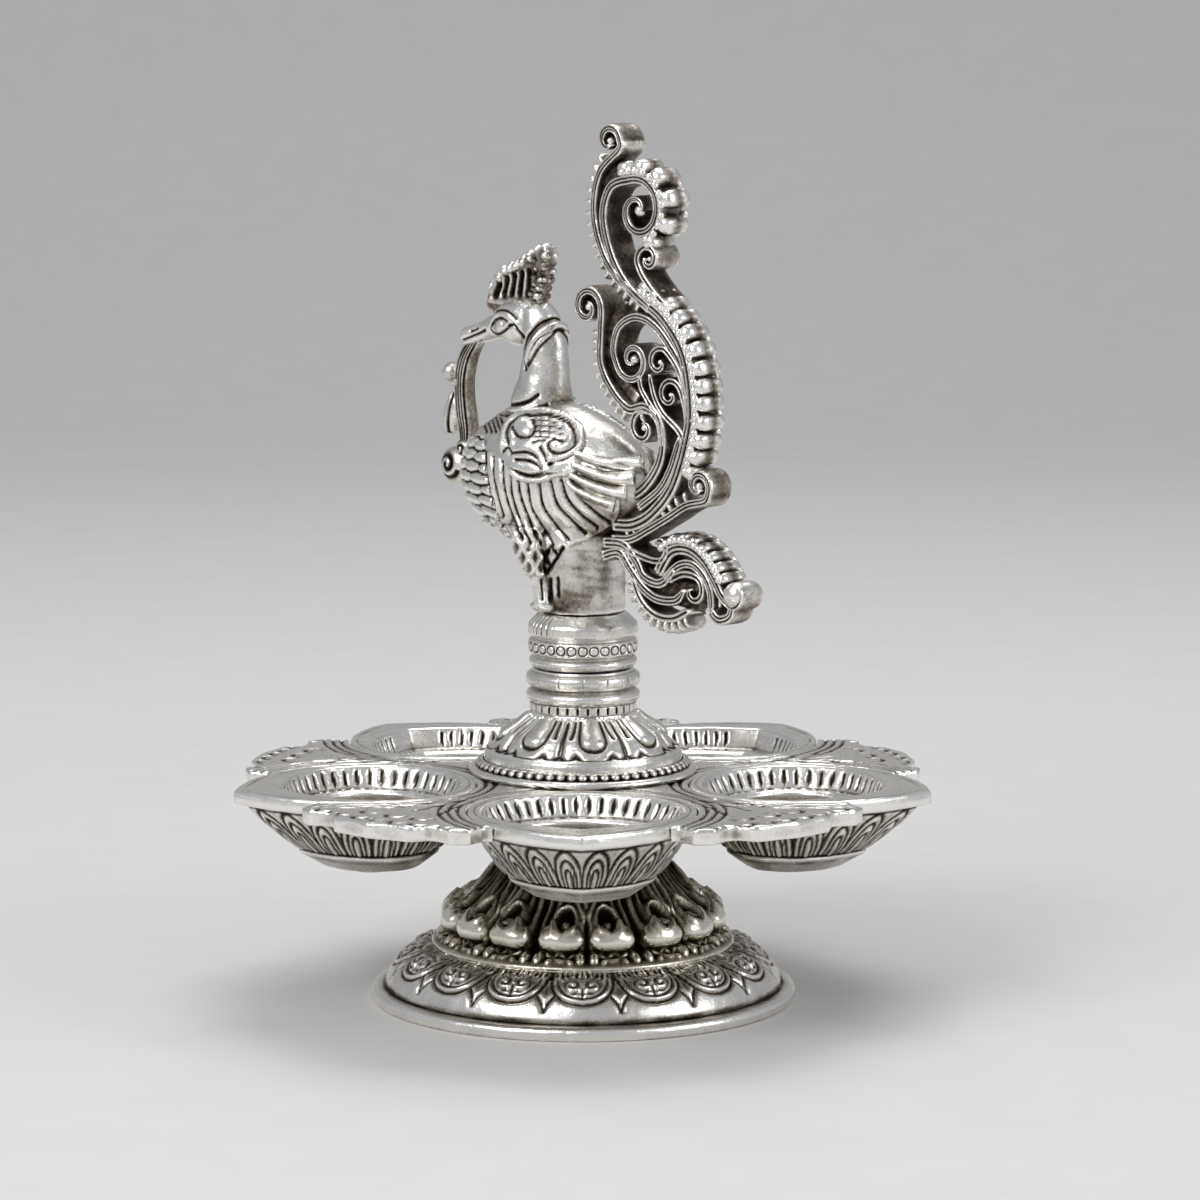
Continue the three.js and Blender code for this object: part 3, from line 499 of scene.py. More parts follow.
def climbed(points, profile):
    """Distance up the slope of a spun profile to each point's height."""
    return np.interp(points[:, 2], profile[:, 1], run_along(profile))


def pair(plane, across, up, radius):
    """Two round pellets, one on each side of the middle."""
    return sum(dome(plane, [side * across, up], radius) for side in (-1, 1))


# Finishes

def linear(hex_colour):
    """sRGB hex to linear colour."""
    channels = [int(hex_colour[i:i + 2], 16) / 255 for i in (1, 3, 5)]
    return [c / 12.92 if c <= 0.04045 else ((c + 0.055) / 1.055) ** 2.4 for c in channels] + [1]


def add_node(tree, kind, inputs=None, **settings):
    """Adds a node, sets its own settings, and sets or links each named input."""
    made = tree.nodes.new(kind)
    for name, value in settings.items():
        setattr(made, name, value)
    for name, value in (inputs or {}).items():
        if isinstance(value, bpy.types.NodeSocket):
            tree.links.new(value, made.inputs[name])
        else:
            made.inputs[name].default_value = value
    return made


def empty_material(name):
    material = bpy.data.materials.new(name)
    material.use_nodes = True
    material.node_tree.nodes.clear()
    return material, material.node_tree


def oxidised_silver(name, tones, polish, pitting):
    """Cast white metal, silver plated, blackened and rubbed back.

    The eye sees near-white rubbed crests with soft highlights, grey slopes that tarnish clouds unevenly,
    and dull brown-black recesses. tones run from rubbed crest to deep recess; polish is the roughness on
    crests and in recesses; pitting is the depth of the cast skin.
    """
    material, tree = empty_material(name)
    place = add_node(tree, "ShaderNodeTexCoord").outputs["Object"]
    # The attribute holds patina, and on some pieces painted shade, from rubbed bright at 0 to black at 1
    patina_and_shade = add_node(tree, "ShaderNodeAttribute", attribute_name="patina_and_shade").outputs["Fac"]
    # Tarnish clouds about 7 mm across
    clouds = add_node(tree, "ShaderNodeTexNoise", {
        "Vector": place, "Scale": 1 / (7 * MM), "Detail": 4.0, "Roughness": 0.6,
    }).outputs["Fac"]
    # Specks of oxide left in the cast skin, about 0.7 mm
    specks = add_node(tree, "ShaderNodeTexNoise", {
        "Vector": place, "Scale": 1 / (0.7 * MM), "Detail": 3.0, "Roughness": 0.7,
    }).outputs["Fac"]
    clouded = add_node(tree, "ShaderNodeMath", {0: clouds, 1: 0.5, 2: -0.25}, operation="MULTIPLY_ADD")
    speckled = add_node(tree, "ShaderNodeMath", {0: specks, 1: 0.55, 2: -0.27}, operation="MULTIPLY_ADD")
    marks = add_node(tree, "ShaderNodeMath", {0: clouded.outputs[0], 1: speckled.outputs[0]},
                     operation="ADD")
    depth = add_node(tree, "ShaderNodeMath", {0: patina_and_shade, 1: marks.outputs[0]}, operation="ADD",
                     use_clamp=True).outputs[0]
    colour = add_node(tree, "ShaderNodeValToRGB", {"Fac": depth})
    ramp = colour.color_ramp
    ramp.elements[0].position = 0.0
    ramp.elements[0].color = linear(tones[0])
    ramp.elements[1].position = 1.0
    ramp.elements[1].color = linear(tones[-1])
    for share, tone in zip((0.3, 0.52, 0.75), tones[1:-1]):
        ramp.elements.new(share).color = linear(tone)
    rough = add_node(tree, "ShaderNodeMapRange", {
        "Value": depth, "From Min": 0.1, "From Max": 0.9, "To Min": polish[0], "To Max": polish[1],
    }).outputs["Result"]
    # Grain of the mould, about 0.6 mm, on the slow ripple that filing leaves, about 4 mm
    skin = add_node(tree, "ShaderNodeTexNoise", {
        "Vector": place, "Scale": 1 / (0.6 * MM), "Detail": 3.0, "Roughness": 0.65,
    }).outputs["Fac"]
    ripple = add_node(tree, "ShaderNodeTexNoise", {
        "Vector": place, "Scale": 1 / (4 * MM), "Detail": 1.0,
    }).outputs["Fac"]
    filed = add_node(tree, "ShaderNodeBump", {
        "Height": ripple, "Strength": 1.0, "Distance": 4 * pitting * MM,
    }).outputs["Normal"]
    bump = add_node(tree, "ShaderNodeBump", {
        "Height": skin, "Strength": 0.9, "Distance": pitting * MM, "Normal": filed,
    }).outputs["Normal"]
    shader = add_node(tree, "ShaderNodeBsdfPrincipled", {
        "Base Color": colour.outputs["Color"], "Metallic": 1.0, "Roughness": rough, "Normal": bump,
    })
    add_node(tree, "ShaderNodeOutputMaterial", {"Surface": shader.outputs["BSDF"]})
    return material


def machined_steel():
    """Turned and plated steel of the rod, washer and nut.

    The eye sees an even cool grey sheen, banded faintly by the rings that the tool leaves.
    """
    material, tree = empty_material("machined steel")
    place = add_node(tree, "ShaderNodeTexCoord").outputs["Object"]
    rings = add_node(tree, "ShaderNodeTexWave", {
        "Vector": place, "Scale": 1 / (3 * MM), "Distortion": 0.4,
    }, bands_direction="Z").outputs["Fac"]
    colour = add_node(tree, "ShaderNodeMix", {
        "Factor": rings, "A": linear("#8E9092"), "B": linear("#B4B6B8"),
    }, data_type="RGBA")
    shader = add_node(tree, "ShaderNodeBsdfPrincipled", {
        "Base Color": colour.outputs[2], "Metallic": 1.0, "Roughness": 0.38,
    })
    add_node(tree, "ShaderNodeOutputMaterial", {"Surface": shader.outputs["BSDF"]})
    return material


def studio_paper(light, shade):
    """Uncoated background paper off the roll.

    The eye sees an even pale grey without a highlight, very slightly uneven where its fibres lie.
    """
    material, tree = empty_material("studio paper")
    fibre = add_node(tree, "ShaderNodeTexNoise", {
        "Vector": add_node(tree, "ShaderNodeTexCoord").outputs["Object"], "Scale": 60.0,
    }).outputs["Fac"]
    pale = add_node(tree, "ShaderNodeMix", {
        "Factor": fibre, "A": linear(shade), "B": linear(light),
    }, data_type="RGBA")
    shader = add_node(tree, "ShaderNodeBsdfPrincipled", {
        "Base Color": pale.outputs[2], "Roughness": 0.9,
    })
    add_node(tree, "ShaderNodeOutputMaterial", {"Surface": shader.outputs["BSDF"]})
    return material


# Each cast finish: its name, tones from crest to recess, roughness on crests and in recesses, and the
# depth of the cast skin
SILVERS = {
    "bright": ("rubbed silver plate", ["#F6F4F0", "#DAD6D0", "#A8A299", "#5F574D", "#241E18"],
               (0.25, 0.55), 0.06),
    "figure": ("oxidised silver cast", ["#F8F6F2", "#DAD6CF", "#938B80", "#453B33", "#16110E"],
               (0.25, 0.58), 0.1),
    # Darker, warmer tones, for the bell
    "foot": ("dark olive silver cast", ["#ECE8DC", "#B9B3A2", "#746D5C", "#332D22", "#14100B"],
             (0.22, 0.55), 0.05),
}
FINISHES = {}


def finish(name):
    """The material of a finish, made when it is first asked for."""
    if name not in FINISHES:
        FINISHES[name] = oxidised_silver(*SILVERS[name]) if name in SILVERS else machined_steel()
    return FINISHES[name]


# Foot

def build_foot_rim(lamp):
    inner = RIM_RADIUS - 6.6
    profile = moulding([
        [inner, 0], [RIM_RADIUS - 0.5, 0], [RIM_RADIUS, 0.7], [RIM_RADIUS, RIM_TOP - 0.9],
        [RIM_RADIUS - 0.8, RIM_TOP - 0.1], [RIM_RADIUS - 3.0, RIM_TOP - 0.15],
        [RIM_RADIUS - 3.4, RIM_TOP], [inner, RIM_TOP],
    ], 0.4, 0.5)
    rim = spun("foot_rim_ring", profile, 288)
    points = points_of(rim)
    _, radius = polar(points)
    outer = step_up(radius - RIM_RADIUS + 3, 2.5)
    relief(rim, -0.1 * outer * (1 + waver(points, 24, 11)) * (points[:, 2] > 0.3))
    seam = crease(radius - RIM_RADIUS + 3.1, 0.55) * (points[:, 2] > RIM_TOP - 1)
    # Painted shadow: a dark line round the rim's outer foot, where it stands on the floor
    floor_contact_shade = crease(points[:, 2], 0.5) * (radius > RIM_RADIUS - 1)
    worn = 0.12 * waver(points, 9, 13)
    age_and_shade(rim, stain=0.95 * seam * (0.75 + 0.4 * waver(points, 6, 12)) + 0.4 * floor_contact_shade + worn - 0.04)
    mount(rim, "foot", ["foot_rim"], finish("bright"))


def lotus_lines(width):
    """Double-scroll lotus motif in [across, up the slope]: framing loops, two curls and their stem."""
    w = width
    loop = [[-0.47 * w, 13.6], [-0.44 * w, 9.5], [-0.36 * w, 6.6], [-0.2 * w, 4.7], [0, 4.1]]
    inner = [[-0.39 * w, 13.6], [-0.36 * w, 9.8], [-0.28 * w, 7.4], [-0.15 * w, 6.1], [0, 5.7]]
    tip = [[-0.36 * w, 6.6], [-0.45 * w, 4.6], [-0.5 * w, 2.6]]
    half = [
        smooth_line(loop), smooth_line(inner), smooth_line(tip),
        spiral([-0.135 * w, 9.0], 2.0, 0.5, -70, -430, 36),
        smooth_line([[-0.3 * w, 13.8], [-0.29 * w, 11.8], [-0.2 * w, 11.2]]),
        smooth_line([[-0.22 * w, 13.9], [-0.2 * w, 12.4], [-0.1 * w, 11.6]]),
        smooth_line([[-0.1 * w, 13.9], [-0.08 * w, 12.8], [0, 11.8]]),
    ]
    stem = np.array([[0, 5.9], [0, 8.4]])
    return both_ways(half) + [stem]


def build_foot_dome(lamp):
    foot = RIM_RADIUS - 3.2
    outer = np.add([[0, 0], [-0.1, 1.2], [-1.3, 3.5], [-3.8, 6.1], [-7.1, 7.7]], [foot, RIM_TOP])
    outer = smooth_line([*outer, [foot - 10.5, BELL_FOOT]], 0.27)
    inner = resampled(np.array([
        [foot - 10.6, BELL_FOOT], [foot - 15.3, BELL_FOOT], [foot - 15.3, BELL_FOOT - 2.4],
        [foot - 12.9, BELL_FOOT - 2.4], [foot - 6.2, RIM_TOP + 4.2], [foot - 2.4, RIM_TOP],
        [foot - 0.1, RIM_TOP],
    ]), 1.0)
    piece = spun("lotus_dome", np.vstack([outer, inner]), 576)
    points = points_of(piece)
    angle, _ = polar(points)
    up = climbed(points, outer)
    face = on_profile(points, outer, 0.15).astype(float)
    width = 2 * math.pi * (foot - 4) / lamp.foot.lotus_count
    across = sector(angle, lamp.foot.lotus_count) * width
    plane = np.stack([across, up], axis=1)
    lotus = lotus_lines(width)
    cut = traced(plane, lotus, 0.44)
    curls = pair(plane, 0.135 * width, 9.0, 2.2)
    petal_rim = traced(plane, both_ways([lotus[0] * [0.86, 1] + [0, 0.9]]), 0.6)
    hatch = 0.5 + 0.5 * np.cos(angle * 12 * lamp.foot.lotus_count)
    hatch = np.clip(hatch - 0.35, 0, 1) * step_up(up - 11.4, 1.2)
    valley = step_up(up - 5, 3) * np.abs(across / width * 2) ** 6
    height = face * (0.7 * curls + 0.3 * petal_rim - 0.6 * cut - 0.45 * hatch - 0.6 * valley)
    relief(piece, height + 0.08 * waver(points, 5, 24) * face)
    low = crease(up, 1.0) * (0.8 + 0.5 * waver(points, 7, 25))
    high = step_up(up - 12.6, 1.5)
    dark = face * (0.38 * cut + 0.4 * hatch + 0.3 * valley + 0.95 * low + 0.2 * high)
    age_and_shade(piece, stain=dark - 0.08)
    mount(piece, "foot", ["foot_dome"], finish("bright"))


def build_bell(lamp):
    outer = np.add([
        [31.7, 0.1], [31.8, 0.9], [30.6, 1.9], [29.0, 2.9], [28.6, 4.2], [28.7, 5.8], [27.6, 7.7],
        [25.4, 9.6], [22.9, 11.4], [20.8, 13.4], [18.6, 16], [16.6, 19], [14.9, 22.5], [13.7, 27],
    ], [0, BELL_FOOT])
    outer = smooth_line([*outer, [13.5, BELL_TOP - 0.1]], 0.34)
    ceiling = BELL_FOOT + 12.5
    inner = resampled(np.array([
        [13.5, BELL_TOP], [BORE_RADIUS, BELL_TOP], [BORE_RADIUS, ceiling], [13.6, ceiling],
        [24.6, BELL_FOOT + 6.4], [24.7, BELL_FOOT], [31.6, BELL_FOOT],
    ]), 2.0)
    bell = spun("lobed_bell", np.vstack([outer, inner]), 512)
    points = points_of(bell)
    angle, radius = polar(points)
    up = points[:, 2] - BELL_FOOT
    face = (on_profile(points, outer, 0.3) & (up > 0.02)).astype(float)
    pairs = lamp.foot.petal_pairs
    share = sector(angle, pairs, -math.pi / 2 + 0.03)
    width = 2 * math.pi * 28.5 / pairs
    across = share * width
    plane = np.stack([across, up], axis=1)
    # Two tall lobes to a petal, each with a sunk eye, its pellet and a collar round it
    lobes = pair(plane * [0.96, 1.55], 0.245 * width * 0.96, 6.4 * 1.55, 4.7)
    gap = crease(np.abs(share) - 0.5, 0.045) * step_up(up - 2.5, 1.5)
    split = crease(across, 0.5) * between(up, 2.6, 1, 9.4, 1.5)
    eyes = pair(plane, 0.2 * width, 9.3, 2.2)
    pellets = pair(plane, 0.2 * width, 8.9, 1.2)
    collars = traced(plane, both_ways([spiral([0.2 * width, 9.3], 3.0, 1.7, -60, 320, 26)]), 0.55)
    # Ribs that sweep up the neck, and a leaf between the lobes
    unit = [width, 1]
    sweep = [
        [[0.4, 9.5], [0.38, 12], [0.35, 16], [0.32, 22], [0.31, 31]],
        [[0.26, 12.4], [0.25, 15], [0.22, 21], [0.2, 31]],
        [[0.03, 17.6], [0.08, 21], [0.09, 31]],
    ]
    ribs = traced(plane, both_ways([smooth_line(np.multiply(line, unit), 0.9) for line in sweep]), 0.85)
    leaf = np.multiply([[0, 9.9], [0.07, 11.4], [0.115, 13.4], [0.1, 15.6], [0, 17.4]], unit)
    leaf_edge = traced(plane, both_ways([smooth_line(leaf)]), 0.55)
    leaf_vein = traced(plane, [[[0, 11.6], [0, 15.4]]], 0.55)
    # Frieze of pellets and vines round the wavy lower edge
    frieze = pair(plane, 0.06 * width, 2.75, 1.15) + pair(plane, 0.44 * width, 2.75, 1.15)
    vines = [[[0.12, 3.2], [0.22, 2.2], [0.37, 3.2]], [[0.14, 1.9], [0.25, 3.3], [0.34, 2.0]]]
    vines = traced(plane, both_ways([smooth_line(np.multiply(line, unit)) for line in vines]), 0.42)
    carve = (1.7 * lobes - 1.7 * gap - 1.2 * split - 2.1 * eyes + 1.9 * pellets - 0.8 * ribs
             + 1.3 * collars + 1.0 * leaf_edge + 0.6 * leaf_vein + 1.0 * frieze + 0.7 * vines
             - 0.6 * between(up, 1.8, 0.8, 3.6, 0.9) * (1 - frieze) + 0.25 * waver(points, 4, 23))
    rim_wave = crease(up, 1.1) * (0.5 + 0.5 * waver(points, 8, 21))
    height = face * (np.clip(carve, -2.2, 1.8) * step_up(up - 1.2, 1.0) - 0.35 * rim_wave)
    height *= 1 - 0.75 * step_up(up - 22, 8)
    # The carving stays inside the bell's widest ring
    reach = radius + height * 0.8
    relief(bell, np.where(reach > 31.8, height - (reach - 31.8), height))
    dark = (0.4 * gap + 0.35 * split + 0.5 * np.clip(eyes - 1.3 * pellets, 0, 1) + 0.35 * ribs
            + 0.35 * step_up(up - 10, 6) - 0.3 * lobes * (1 - eyes)
            + 0.5 * crease(up - 2.8, 1.2) * (1 - frieze) * (1 - vines))
    age_and_shade(bell, stain=face * dark + 0.1 * waver(points, 9, 22), recess=0.35)
    mount(bell, "foot", ["bell_stem"], finish("foot"))


# Tray and cups. A cup is drawn on the X axis and turned to each of its places.

CUP_COUNT = 5
CUP_CENTRE, CUP_TIP = 45.0, 75.0
CUP_TURNS = [math.radians(-90 + 360 / CUP_COUNT * i) for i in range(CUP_COUNT)]
# Sections of a cup: inset, distance back from the tip, height above the base, scale about the centre
CUP_OUTSIDE = [
    (0.6, 6, 0, 0), (0.6, 6, 0, 0.2), (0.8, 6, 0.1, 0.46), (0.8, 6, 1, 0.52), (0.9, 5.5, 2.2, 0.6),
    (0.9, 5, 3, 0.655), (0.9, 4.8, 3.6, 0.675), (0.95, 4.6, 3.9, 0.665), (1, 4.4, 4.3, 0.69),
    (1.1, 3.8, 6.2, 0.78), (1.1, 3, 8.6, 0.86), (1.1, 2.2, 11, 0.925), (1.1, 1.4, 13, 0.97),
    (1.1, 1.1, 13.5, 0.975), (0.5, 0.4, 13.9, 0.995), (0.1, 0.05, 14.4, 1), (0, 0, 15.4, 1),
]
# The same, with the depth below the rim in place of the height
CUP_INSIDE = [
    (0.1, 0.05, 0.35, 1), (0.4, 0, 0, 1), (0.9, 2, 0, 1), (1.5, 4.4, 0, 1), (2.2, 6.6, 0, 1),
    (2.6, 6.9, 0.25, 1), (3.2, 6.6, 1.6, 0.99), (3.8, 6.3, 3.2, 0.975), (4.2, 6.3, 4.2, 0.965),
    (4.6, 6.6, 4.6, 0.955), (5.2, 7, 4.3, 0.95), (6.2, 7.6, 4.4, 0.94), (6.8, 8, 5, 0.92),
    (5.4, 8, 6.4, 0.86), (4.7, 8.5, 9, 0.78), (4.7, 10, 13, 0.58), (4.7, 11, 14.7, 0.42),
    (4.7, 11, 15, 0.25), (4.7, 11, 15, 0),
]


def cup_outline(inset, tip, count):
    """Outline of a cup from above, from its tip round: x runs outward from the stack's axis."""
    wide = 23.0 - inset
    inner, tip = 24.4 + inset, tip - inset
    arc, shoulder, cheek = 0.5523, 0.37 * (tip - CUP_CENTRE), 0.77 * (tip - CUP_CENTRE)
    corners = [
        [[tip, 0], [CUP_CENTRE + cheek, 0.74 * wide], [CUP_CENTRE + shoulder, wide], [CUP_CENTRE, wide]],
        [[CUP_CENTRE, wide], [CUP_CENTRE - arc * (CUP_CENTRE - inner), wide], [inner, arc * wide],
         [inner, 0]],
    ]
    share = np.linspace(0, 1, 60)[:, None]
    half = []
    for a, b, c, d in np.array(corners):
        half.append((1 - share) ** 3 * a + 3 * share * (1 - share) ** 2 * b
                    + 3 * share ** 2 * (1 - share) * c + share ** 3 * d)
    half = np.vstack([half[0], half[1][1:]])
    line = np.vstack([half, half[::-1][1:] * [1, -1]])
    run = np.linalg.norm(np.diff(line, axis=0), axis=1).sum()
    return resampled(line, run / count)[:count]


def cup_skin(count):
    """Rows of a cup's skin, from under its foot over the rim and down to the floor of its well."""
    sections = []
    for keys, level, direction in ((CUP_OUTSIDE, CUP_BASE, 1), (CUP_INSIDE, TRAY_TOP, -1)):
        for inset, back, rise, scale in keys:
            line = cup_outline(inset, CUP_TIP - back, count)
            line = (line - [CUP_CENTRE, 0]) * scale + [CUP_CENTRE, 0]
            sections.append(np.column_stack([line, np.full(count, level + direction * rise)]))
    rows = []
    for start, end in zip(sections[:-1], sections[1:]):
        span = np.linalg.norm(end - start, axis=1).mean()
        steps = max(1, int(round(span / 0.42)))
        rows += [start + (end - start) * i / steps for i in range(steps)]
    return rows + sections[-1:]


def build_cup(lamp):
    count = 288
    cup = wrapped("oil_cup", cup_skin(count))
    points, normals = points_of(cup), normals_of(cup)
    up, depth = points[:, 2] - CUP_BASE, TRAY_TOP - points[:, 2]
    # Each point's share of the way round the outline, and the rim's reach there
    line = cup_outline(0, CUP_TIP, count) - [CUP_CENTRE, 0]
    local = points[:, :2] - [CUP_CENTRE, 0]
    bearing, reach = polar(local)
    line_bearing, line_reach = polar(line)
    bearing = bearing % (2 * math.pi)
    table = np.append(line_bearing % (2 * math.pi), 2 * math.pi)
    share = np.interp(bearing, table, np.arange(count + 1) / count)
    rim_reach = np.interp(bearing, table, np.append(line_reach, CUP_TIP - CUP_CENTRE))
    outward = np.einsum("ij,ij->i", normals[:, :2], local / np.maximum(reach, 1e-6)[:, None])
    outside = (outward > 0.05) & (reach > 0.35 * rim_reach)
    # Petals round the bowl, two arches and a tongue each
    across = (share * lamp.tray.cup_petals) % 1 - 0.5
    plane = np.column_stack([across * 7.2, up - 4.2])
    petal = both_ways([
        smooth_line([[-3.5, -0.2], [-3.3, 3.4], [-2.5, 6.6], [-1.2, 8.5], [0, 9.1]]),
        smooth_line([[-2.0, -0.2], [-1.95, 2.8], [-1.5, 5.2], [-0.8, 6.4], [0, 6.9]]),
        smooth_line([[-0.9, -0.2], [-0.9, 2.6], [-0.5, 4.2], [0, 4.6]]),
    ])
    band = between(up, 4.0, 0.4, 13.3, 0.4)
    petal_cut = traced(plane, petal, 0.5) * outside * band
    petal_swell = np.clip(1 - np.abs(across * 2) ** 2, 0, 1) * outside * band
    base_line = crease(up - 3.95, 0.3) * outside
    rim_line = crease(up - 13.6, 0.3) * outside
    base_scratch = 0.5 * outside * crease(up - 2.6, 0.5) * (0.5 + 0.5 * waver(points, 5, 31))
    # Upright slots in the sloping inner wall, and the groove at the foot of it
    slot = ((share * lamp.tray.cup_slots) % 1 - 0.5) * 2
    clear = between(share, 0.055, 0.012, 0.933, 0.012)
    wall = (outward < -0.2) & (depth < 4.4) & (depth > 0.3)
    slot_cut = np.clip(1 - (slot / 0.42) ** 2 - ((depth - 2.3) / 1.75) ** 2, 0, 1) ** 0.5 * wall * clear
    ledge = ~outside & (depth > 4.15)
    groove = crease(depth - 4.65, 0.3) * ledge * (reach > 0.7 * rim_reach)
    # Engraved line round the flat of the rim
    flat = (depth < 0.15) & (normals[:, 2] > 0.7)
    engraved = crease(reach / rim_reach - 0.94, 0.008) * flat
    cut = (0.5 * petal_cut + 0.3 * base_line + 0.2 * rim_line
           + 0.6 * slot_cut + 0.3 * groove + 0.2 * engraved)
    relief(cup, 0.3 * petal_swell + 0.12 * waver(points, 6, 32) - cut)
    # Painted shade: the outside more than 4 mm below the tray's top is darker
    dark = (0.4 * petal_cut + 0.5 * base_line + 0.3 * rim_line
            + 0.6 * slot_cut + 0.6 * groove + 0.3 * engraved
            + base_scratch + 0.2 * (ledge & (depth > 5)) + 0.16 * outside * (depth > 4))
    age_and_shade(cup, stain=dark + 0.08 * waver(points, 4, 33) - 0.1, recess=0.3)
    return cup


def build_cups(lamp):
    pattern = build_cup(lamp)
    for i, cup in enumerate(duplicates(pattern, [turned_about_axis(turn) for turn in CUP_TURNS])):
        named(cup, f"oil_cup_{i + 1}")
        mount(cup, "tray", [f"cup_{i + 1}"], finish("bright"))


def cup_distance(flat, reach):
    """Distance in the plane from each point to the nearest cup's outline, up to reach."""
    outline = cup_outline(-0.3, CUP_TIP, 120)
    ring = np.column_stack([np.vstack([outline, outline[:1]]), np.zeros(len(outline) + 1)])
    gap = np.full(len(flat), reach)
    for turn in CUP_TURNS:
        gap = np.minimum(gap, distance(flat, turned_about_axis(turn)(ring)[:, :2], reach))
    return gap


def cast_pits(flat):
    """Small round pits left in the casting."""
    rng = np.random.default_rng(41)
    pits = np.zeros(len(flat))
    for _ in range(90):
        where, far = rng.uniform(0, 2 * math.pi), rng.uniform(30, 71)
        centre = [far * math.cos(where), far * math.sin(where)]
        pits = np.maximum(pits, dome(flat, centre, rng.uniform(0.3, 0.8)))
    return pits


def build_tray(lamp):
    tray = remeshed(copy_of_node("tray_plate", "leaf_tray"), 0.5, 3)
    points, normals = points_of(tray), normals_of(tray)
    flat = points[:, :2]
    top = step_up(normals[:, 2] - 0.6, 0.2)
    gap = cup_distance(flat, 12.0)
    angle, radius = polar(points)
    leaf = sector(angle, CUP_COUNT, -math.pi / 2 + math.pi / CUP_COUNT)
    across = leaf * 2 * math.pi / CUP_COUNT * radius
    # Lines that echo the cups' outlines
    echo = crease(gap - 1.7, 0.45) + crease(gap - 3.5, 0.5)
    echo += crease(gap - 5.4, 0.45) * step_up(radius - 44, 6)
    # Half rings near each leaf's rim, and three veins up its middle
    plane = np.column_stack([across, radius])
    scallops = [circle_line([offset, 68.4], 1.7)[:13]
                for offset in (-15.5, -9.5, -4.8, 0, 4.8, 9.5, 15.5)]
    scallops += [circle_line([offset, 62.8], 2.2)[:13] for offset in (-6.4, 0, 6.4)]
    scales = traced(plane, scallops, 0.5)
    side_vein = smooth_line([[-3, 42], [-3.8, 50], [-6.5, 58]])
    vein = traced(plane, [[[0, 40], [0, 57]], *both_ways([side_vein])], 0.5)
    pits = cast_pits(flat)
    edge = 1 - np.abs(normals[:, 2])
    height = -top * (0.5 * np.clip(echo, 0, 1) + 0.5 * scales + 0.45 * vein + 0.35 * pits)
    height += (0.22 * edge + 0.1) * waver(points, 7, 42)
    relief(tray, height * (radius > BOSS_RADIUS - 1))
    points = points_of(tray)
    points[:, 2] = np.minimum(points[:, 2], TRAY_TOP)
    set_points(tray, points)
    # Painted shade: faces that turn downwards are darker
    under = step_up(-normals[:, 2] - 0.5, 0.3)
    seat = crease(radius - BOSS_RADIUS, 1.2) * top
    carved = top * (0.42 * np.clip(echo, 0, 1) + 0.6 * scales + 0.5 * vein + 0.3 * pits)
    age_and_shade(tray, stain=carved + 0.2 * under + 0.4 * seat - 0.08 + 0.08 * waver(points, 6, 43), recess=0.2)
    mount(tray, "tray", ["tray_plate"], finish("bright"))


# Boss and collars

def build_boss(lamp):
    base, step = TRAY_TOP, TRAY_TOP + 6.1
    outer = np.add([
        [20.5, -1.6], [20.2, -0.6], [19.1, 0.1], [18.2, 1.2], [17.0, 2.7], [15.4, 3.9], [13.6, 5.0],
        [12.0, 6.2],
    ], [0, step])
    outer = smooth_line([*outer, [11.1, BOSS_TOP - 0.4], [10.9, BOSS_TOP]], 0.26)
    bore = [[BORE_RADIUS, BOSS_TOP], [BORE_RADIUS, base], [BOSS_RADIUS - 0.5, base]]
    hem = np.add([[-0.4, 0], [0, 0.5], [0, 1.0], [-0.6, 1.5]], [BOSS_RADIUS, base])
    ledge = [[BOSS_RADIUS - 0.8, base + 1.5], [20.5, base + 1.5]]
    riser = np.add([[20.4, 1.8], [20.7, 3.0], [20.65, 4.2]], [0, base])
    lower = np.vstack([
        bore[:1], resampled(np.array(bore), 1.2), smooth_line(hem, 0.25),
        resampled(np.array(ledge), 0.3), smooth_line(riser, 0.3),
    ])
    boss = spun("petal_boss", np.vstack([lower, outer]), 576)
    points = points_of(boss)
    angle, radius = polar(points)
    rise = points[:, 2] - base
    up = climbed(points, outer)
    face = ((points[:, 2] > step - 1.7) & (radius > 9)).astype(float)
    # One petal is drawn 14.4 wide: a tongue, its edges and flanks, and a scalloped hem
    share = sector(angle, lamp.tray.boss_petals, -math.pi / 2 + 0.13)
    plane = np.column_stack([share * 14.4, up])
    petal = both_ways([
        smooth_line([[-3.0, 13.2], [-3.2, 8.0], [-2.9, 5.4], [-1.7, 4.0], [0, 3.6]]),
        smooth_line([[-7.2, 13.2], [-7.0, 6.0], [-6.9, 3.2]]),
        smooth_line([[-4.6, 13.2], [-4.8, 9.5], [-5.2, 7.2]]),
        smooth_line([[-7.1, 2.8], [-6.2, 2.0], [-4.9, 1.8], [-3.7, 2.6]]),
        smooth_line([[-3.7, 2.6], [-2.2, 1.3], [0, 0.9]]),
    ])
    cut = traced(plane, petal, 0.52)
    swell = np.clip(1 - (np.abs(plane[:, 0]) / 2.9) ** 2, 0, 1) * step_up(up - 3.6, 2)
    crown = 1 - np.abs(share * 2) ** 3
    height = face * (0.5 * swell + 0.5 * crown - 0.6 - 0.55 * cut) * between(up, 0.5, 1, 12.4, 0.6)
    relief(boss, height + 0.06 * waver(points, 5, 51) * (rise > 0.5))
    seam = crease(rise, 0.6) * (radius > 20)
    line = crease(rise - 1.6, 0.4) * (radius < 22.6) * (radius > 19)
    age_and_shade(boss, stain=face * 0.5 * cut + 0.45 * seam + 0.5 * line - 0.08 + 0.1 * waver(points, 5, 52))
    mount(boss, "tray", ["boss_dome"], finish("bright"))


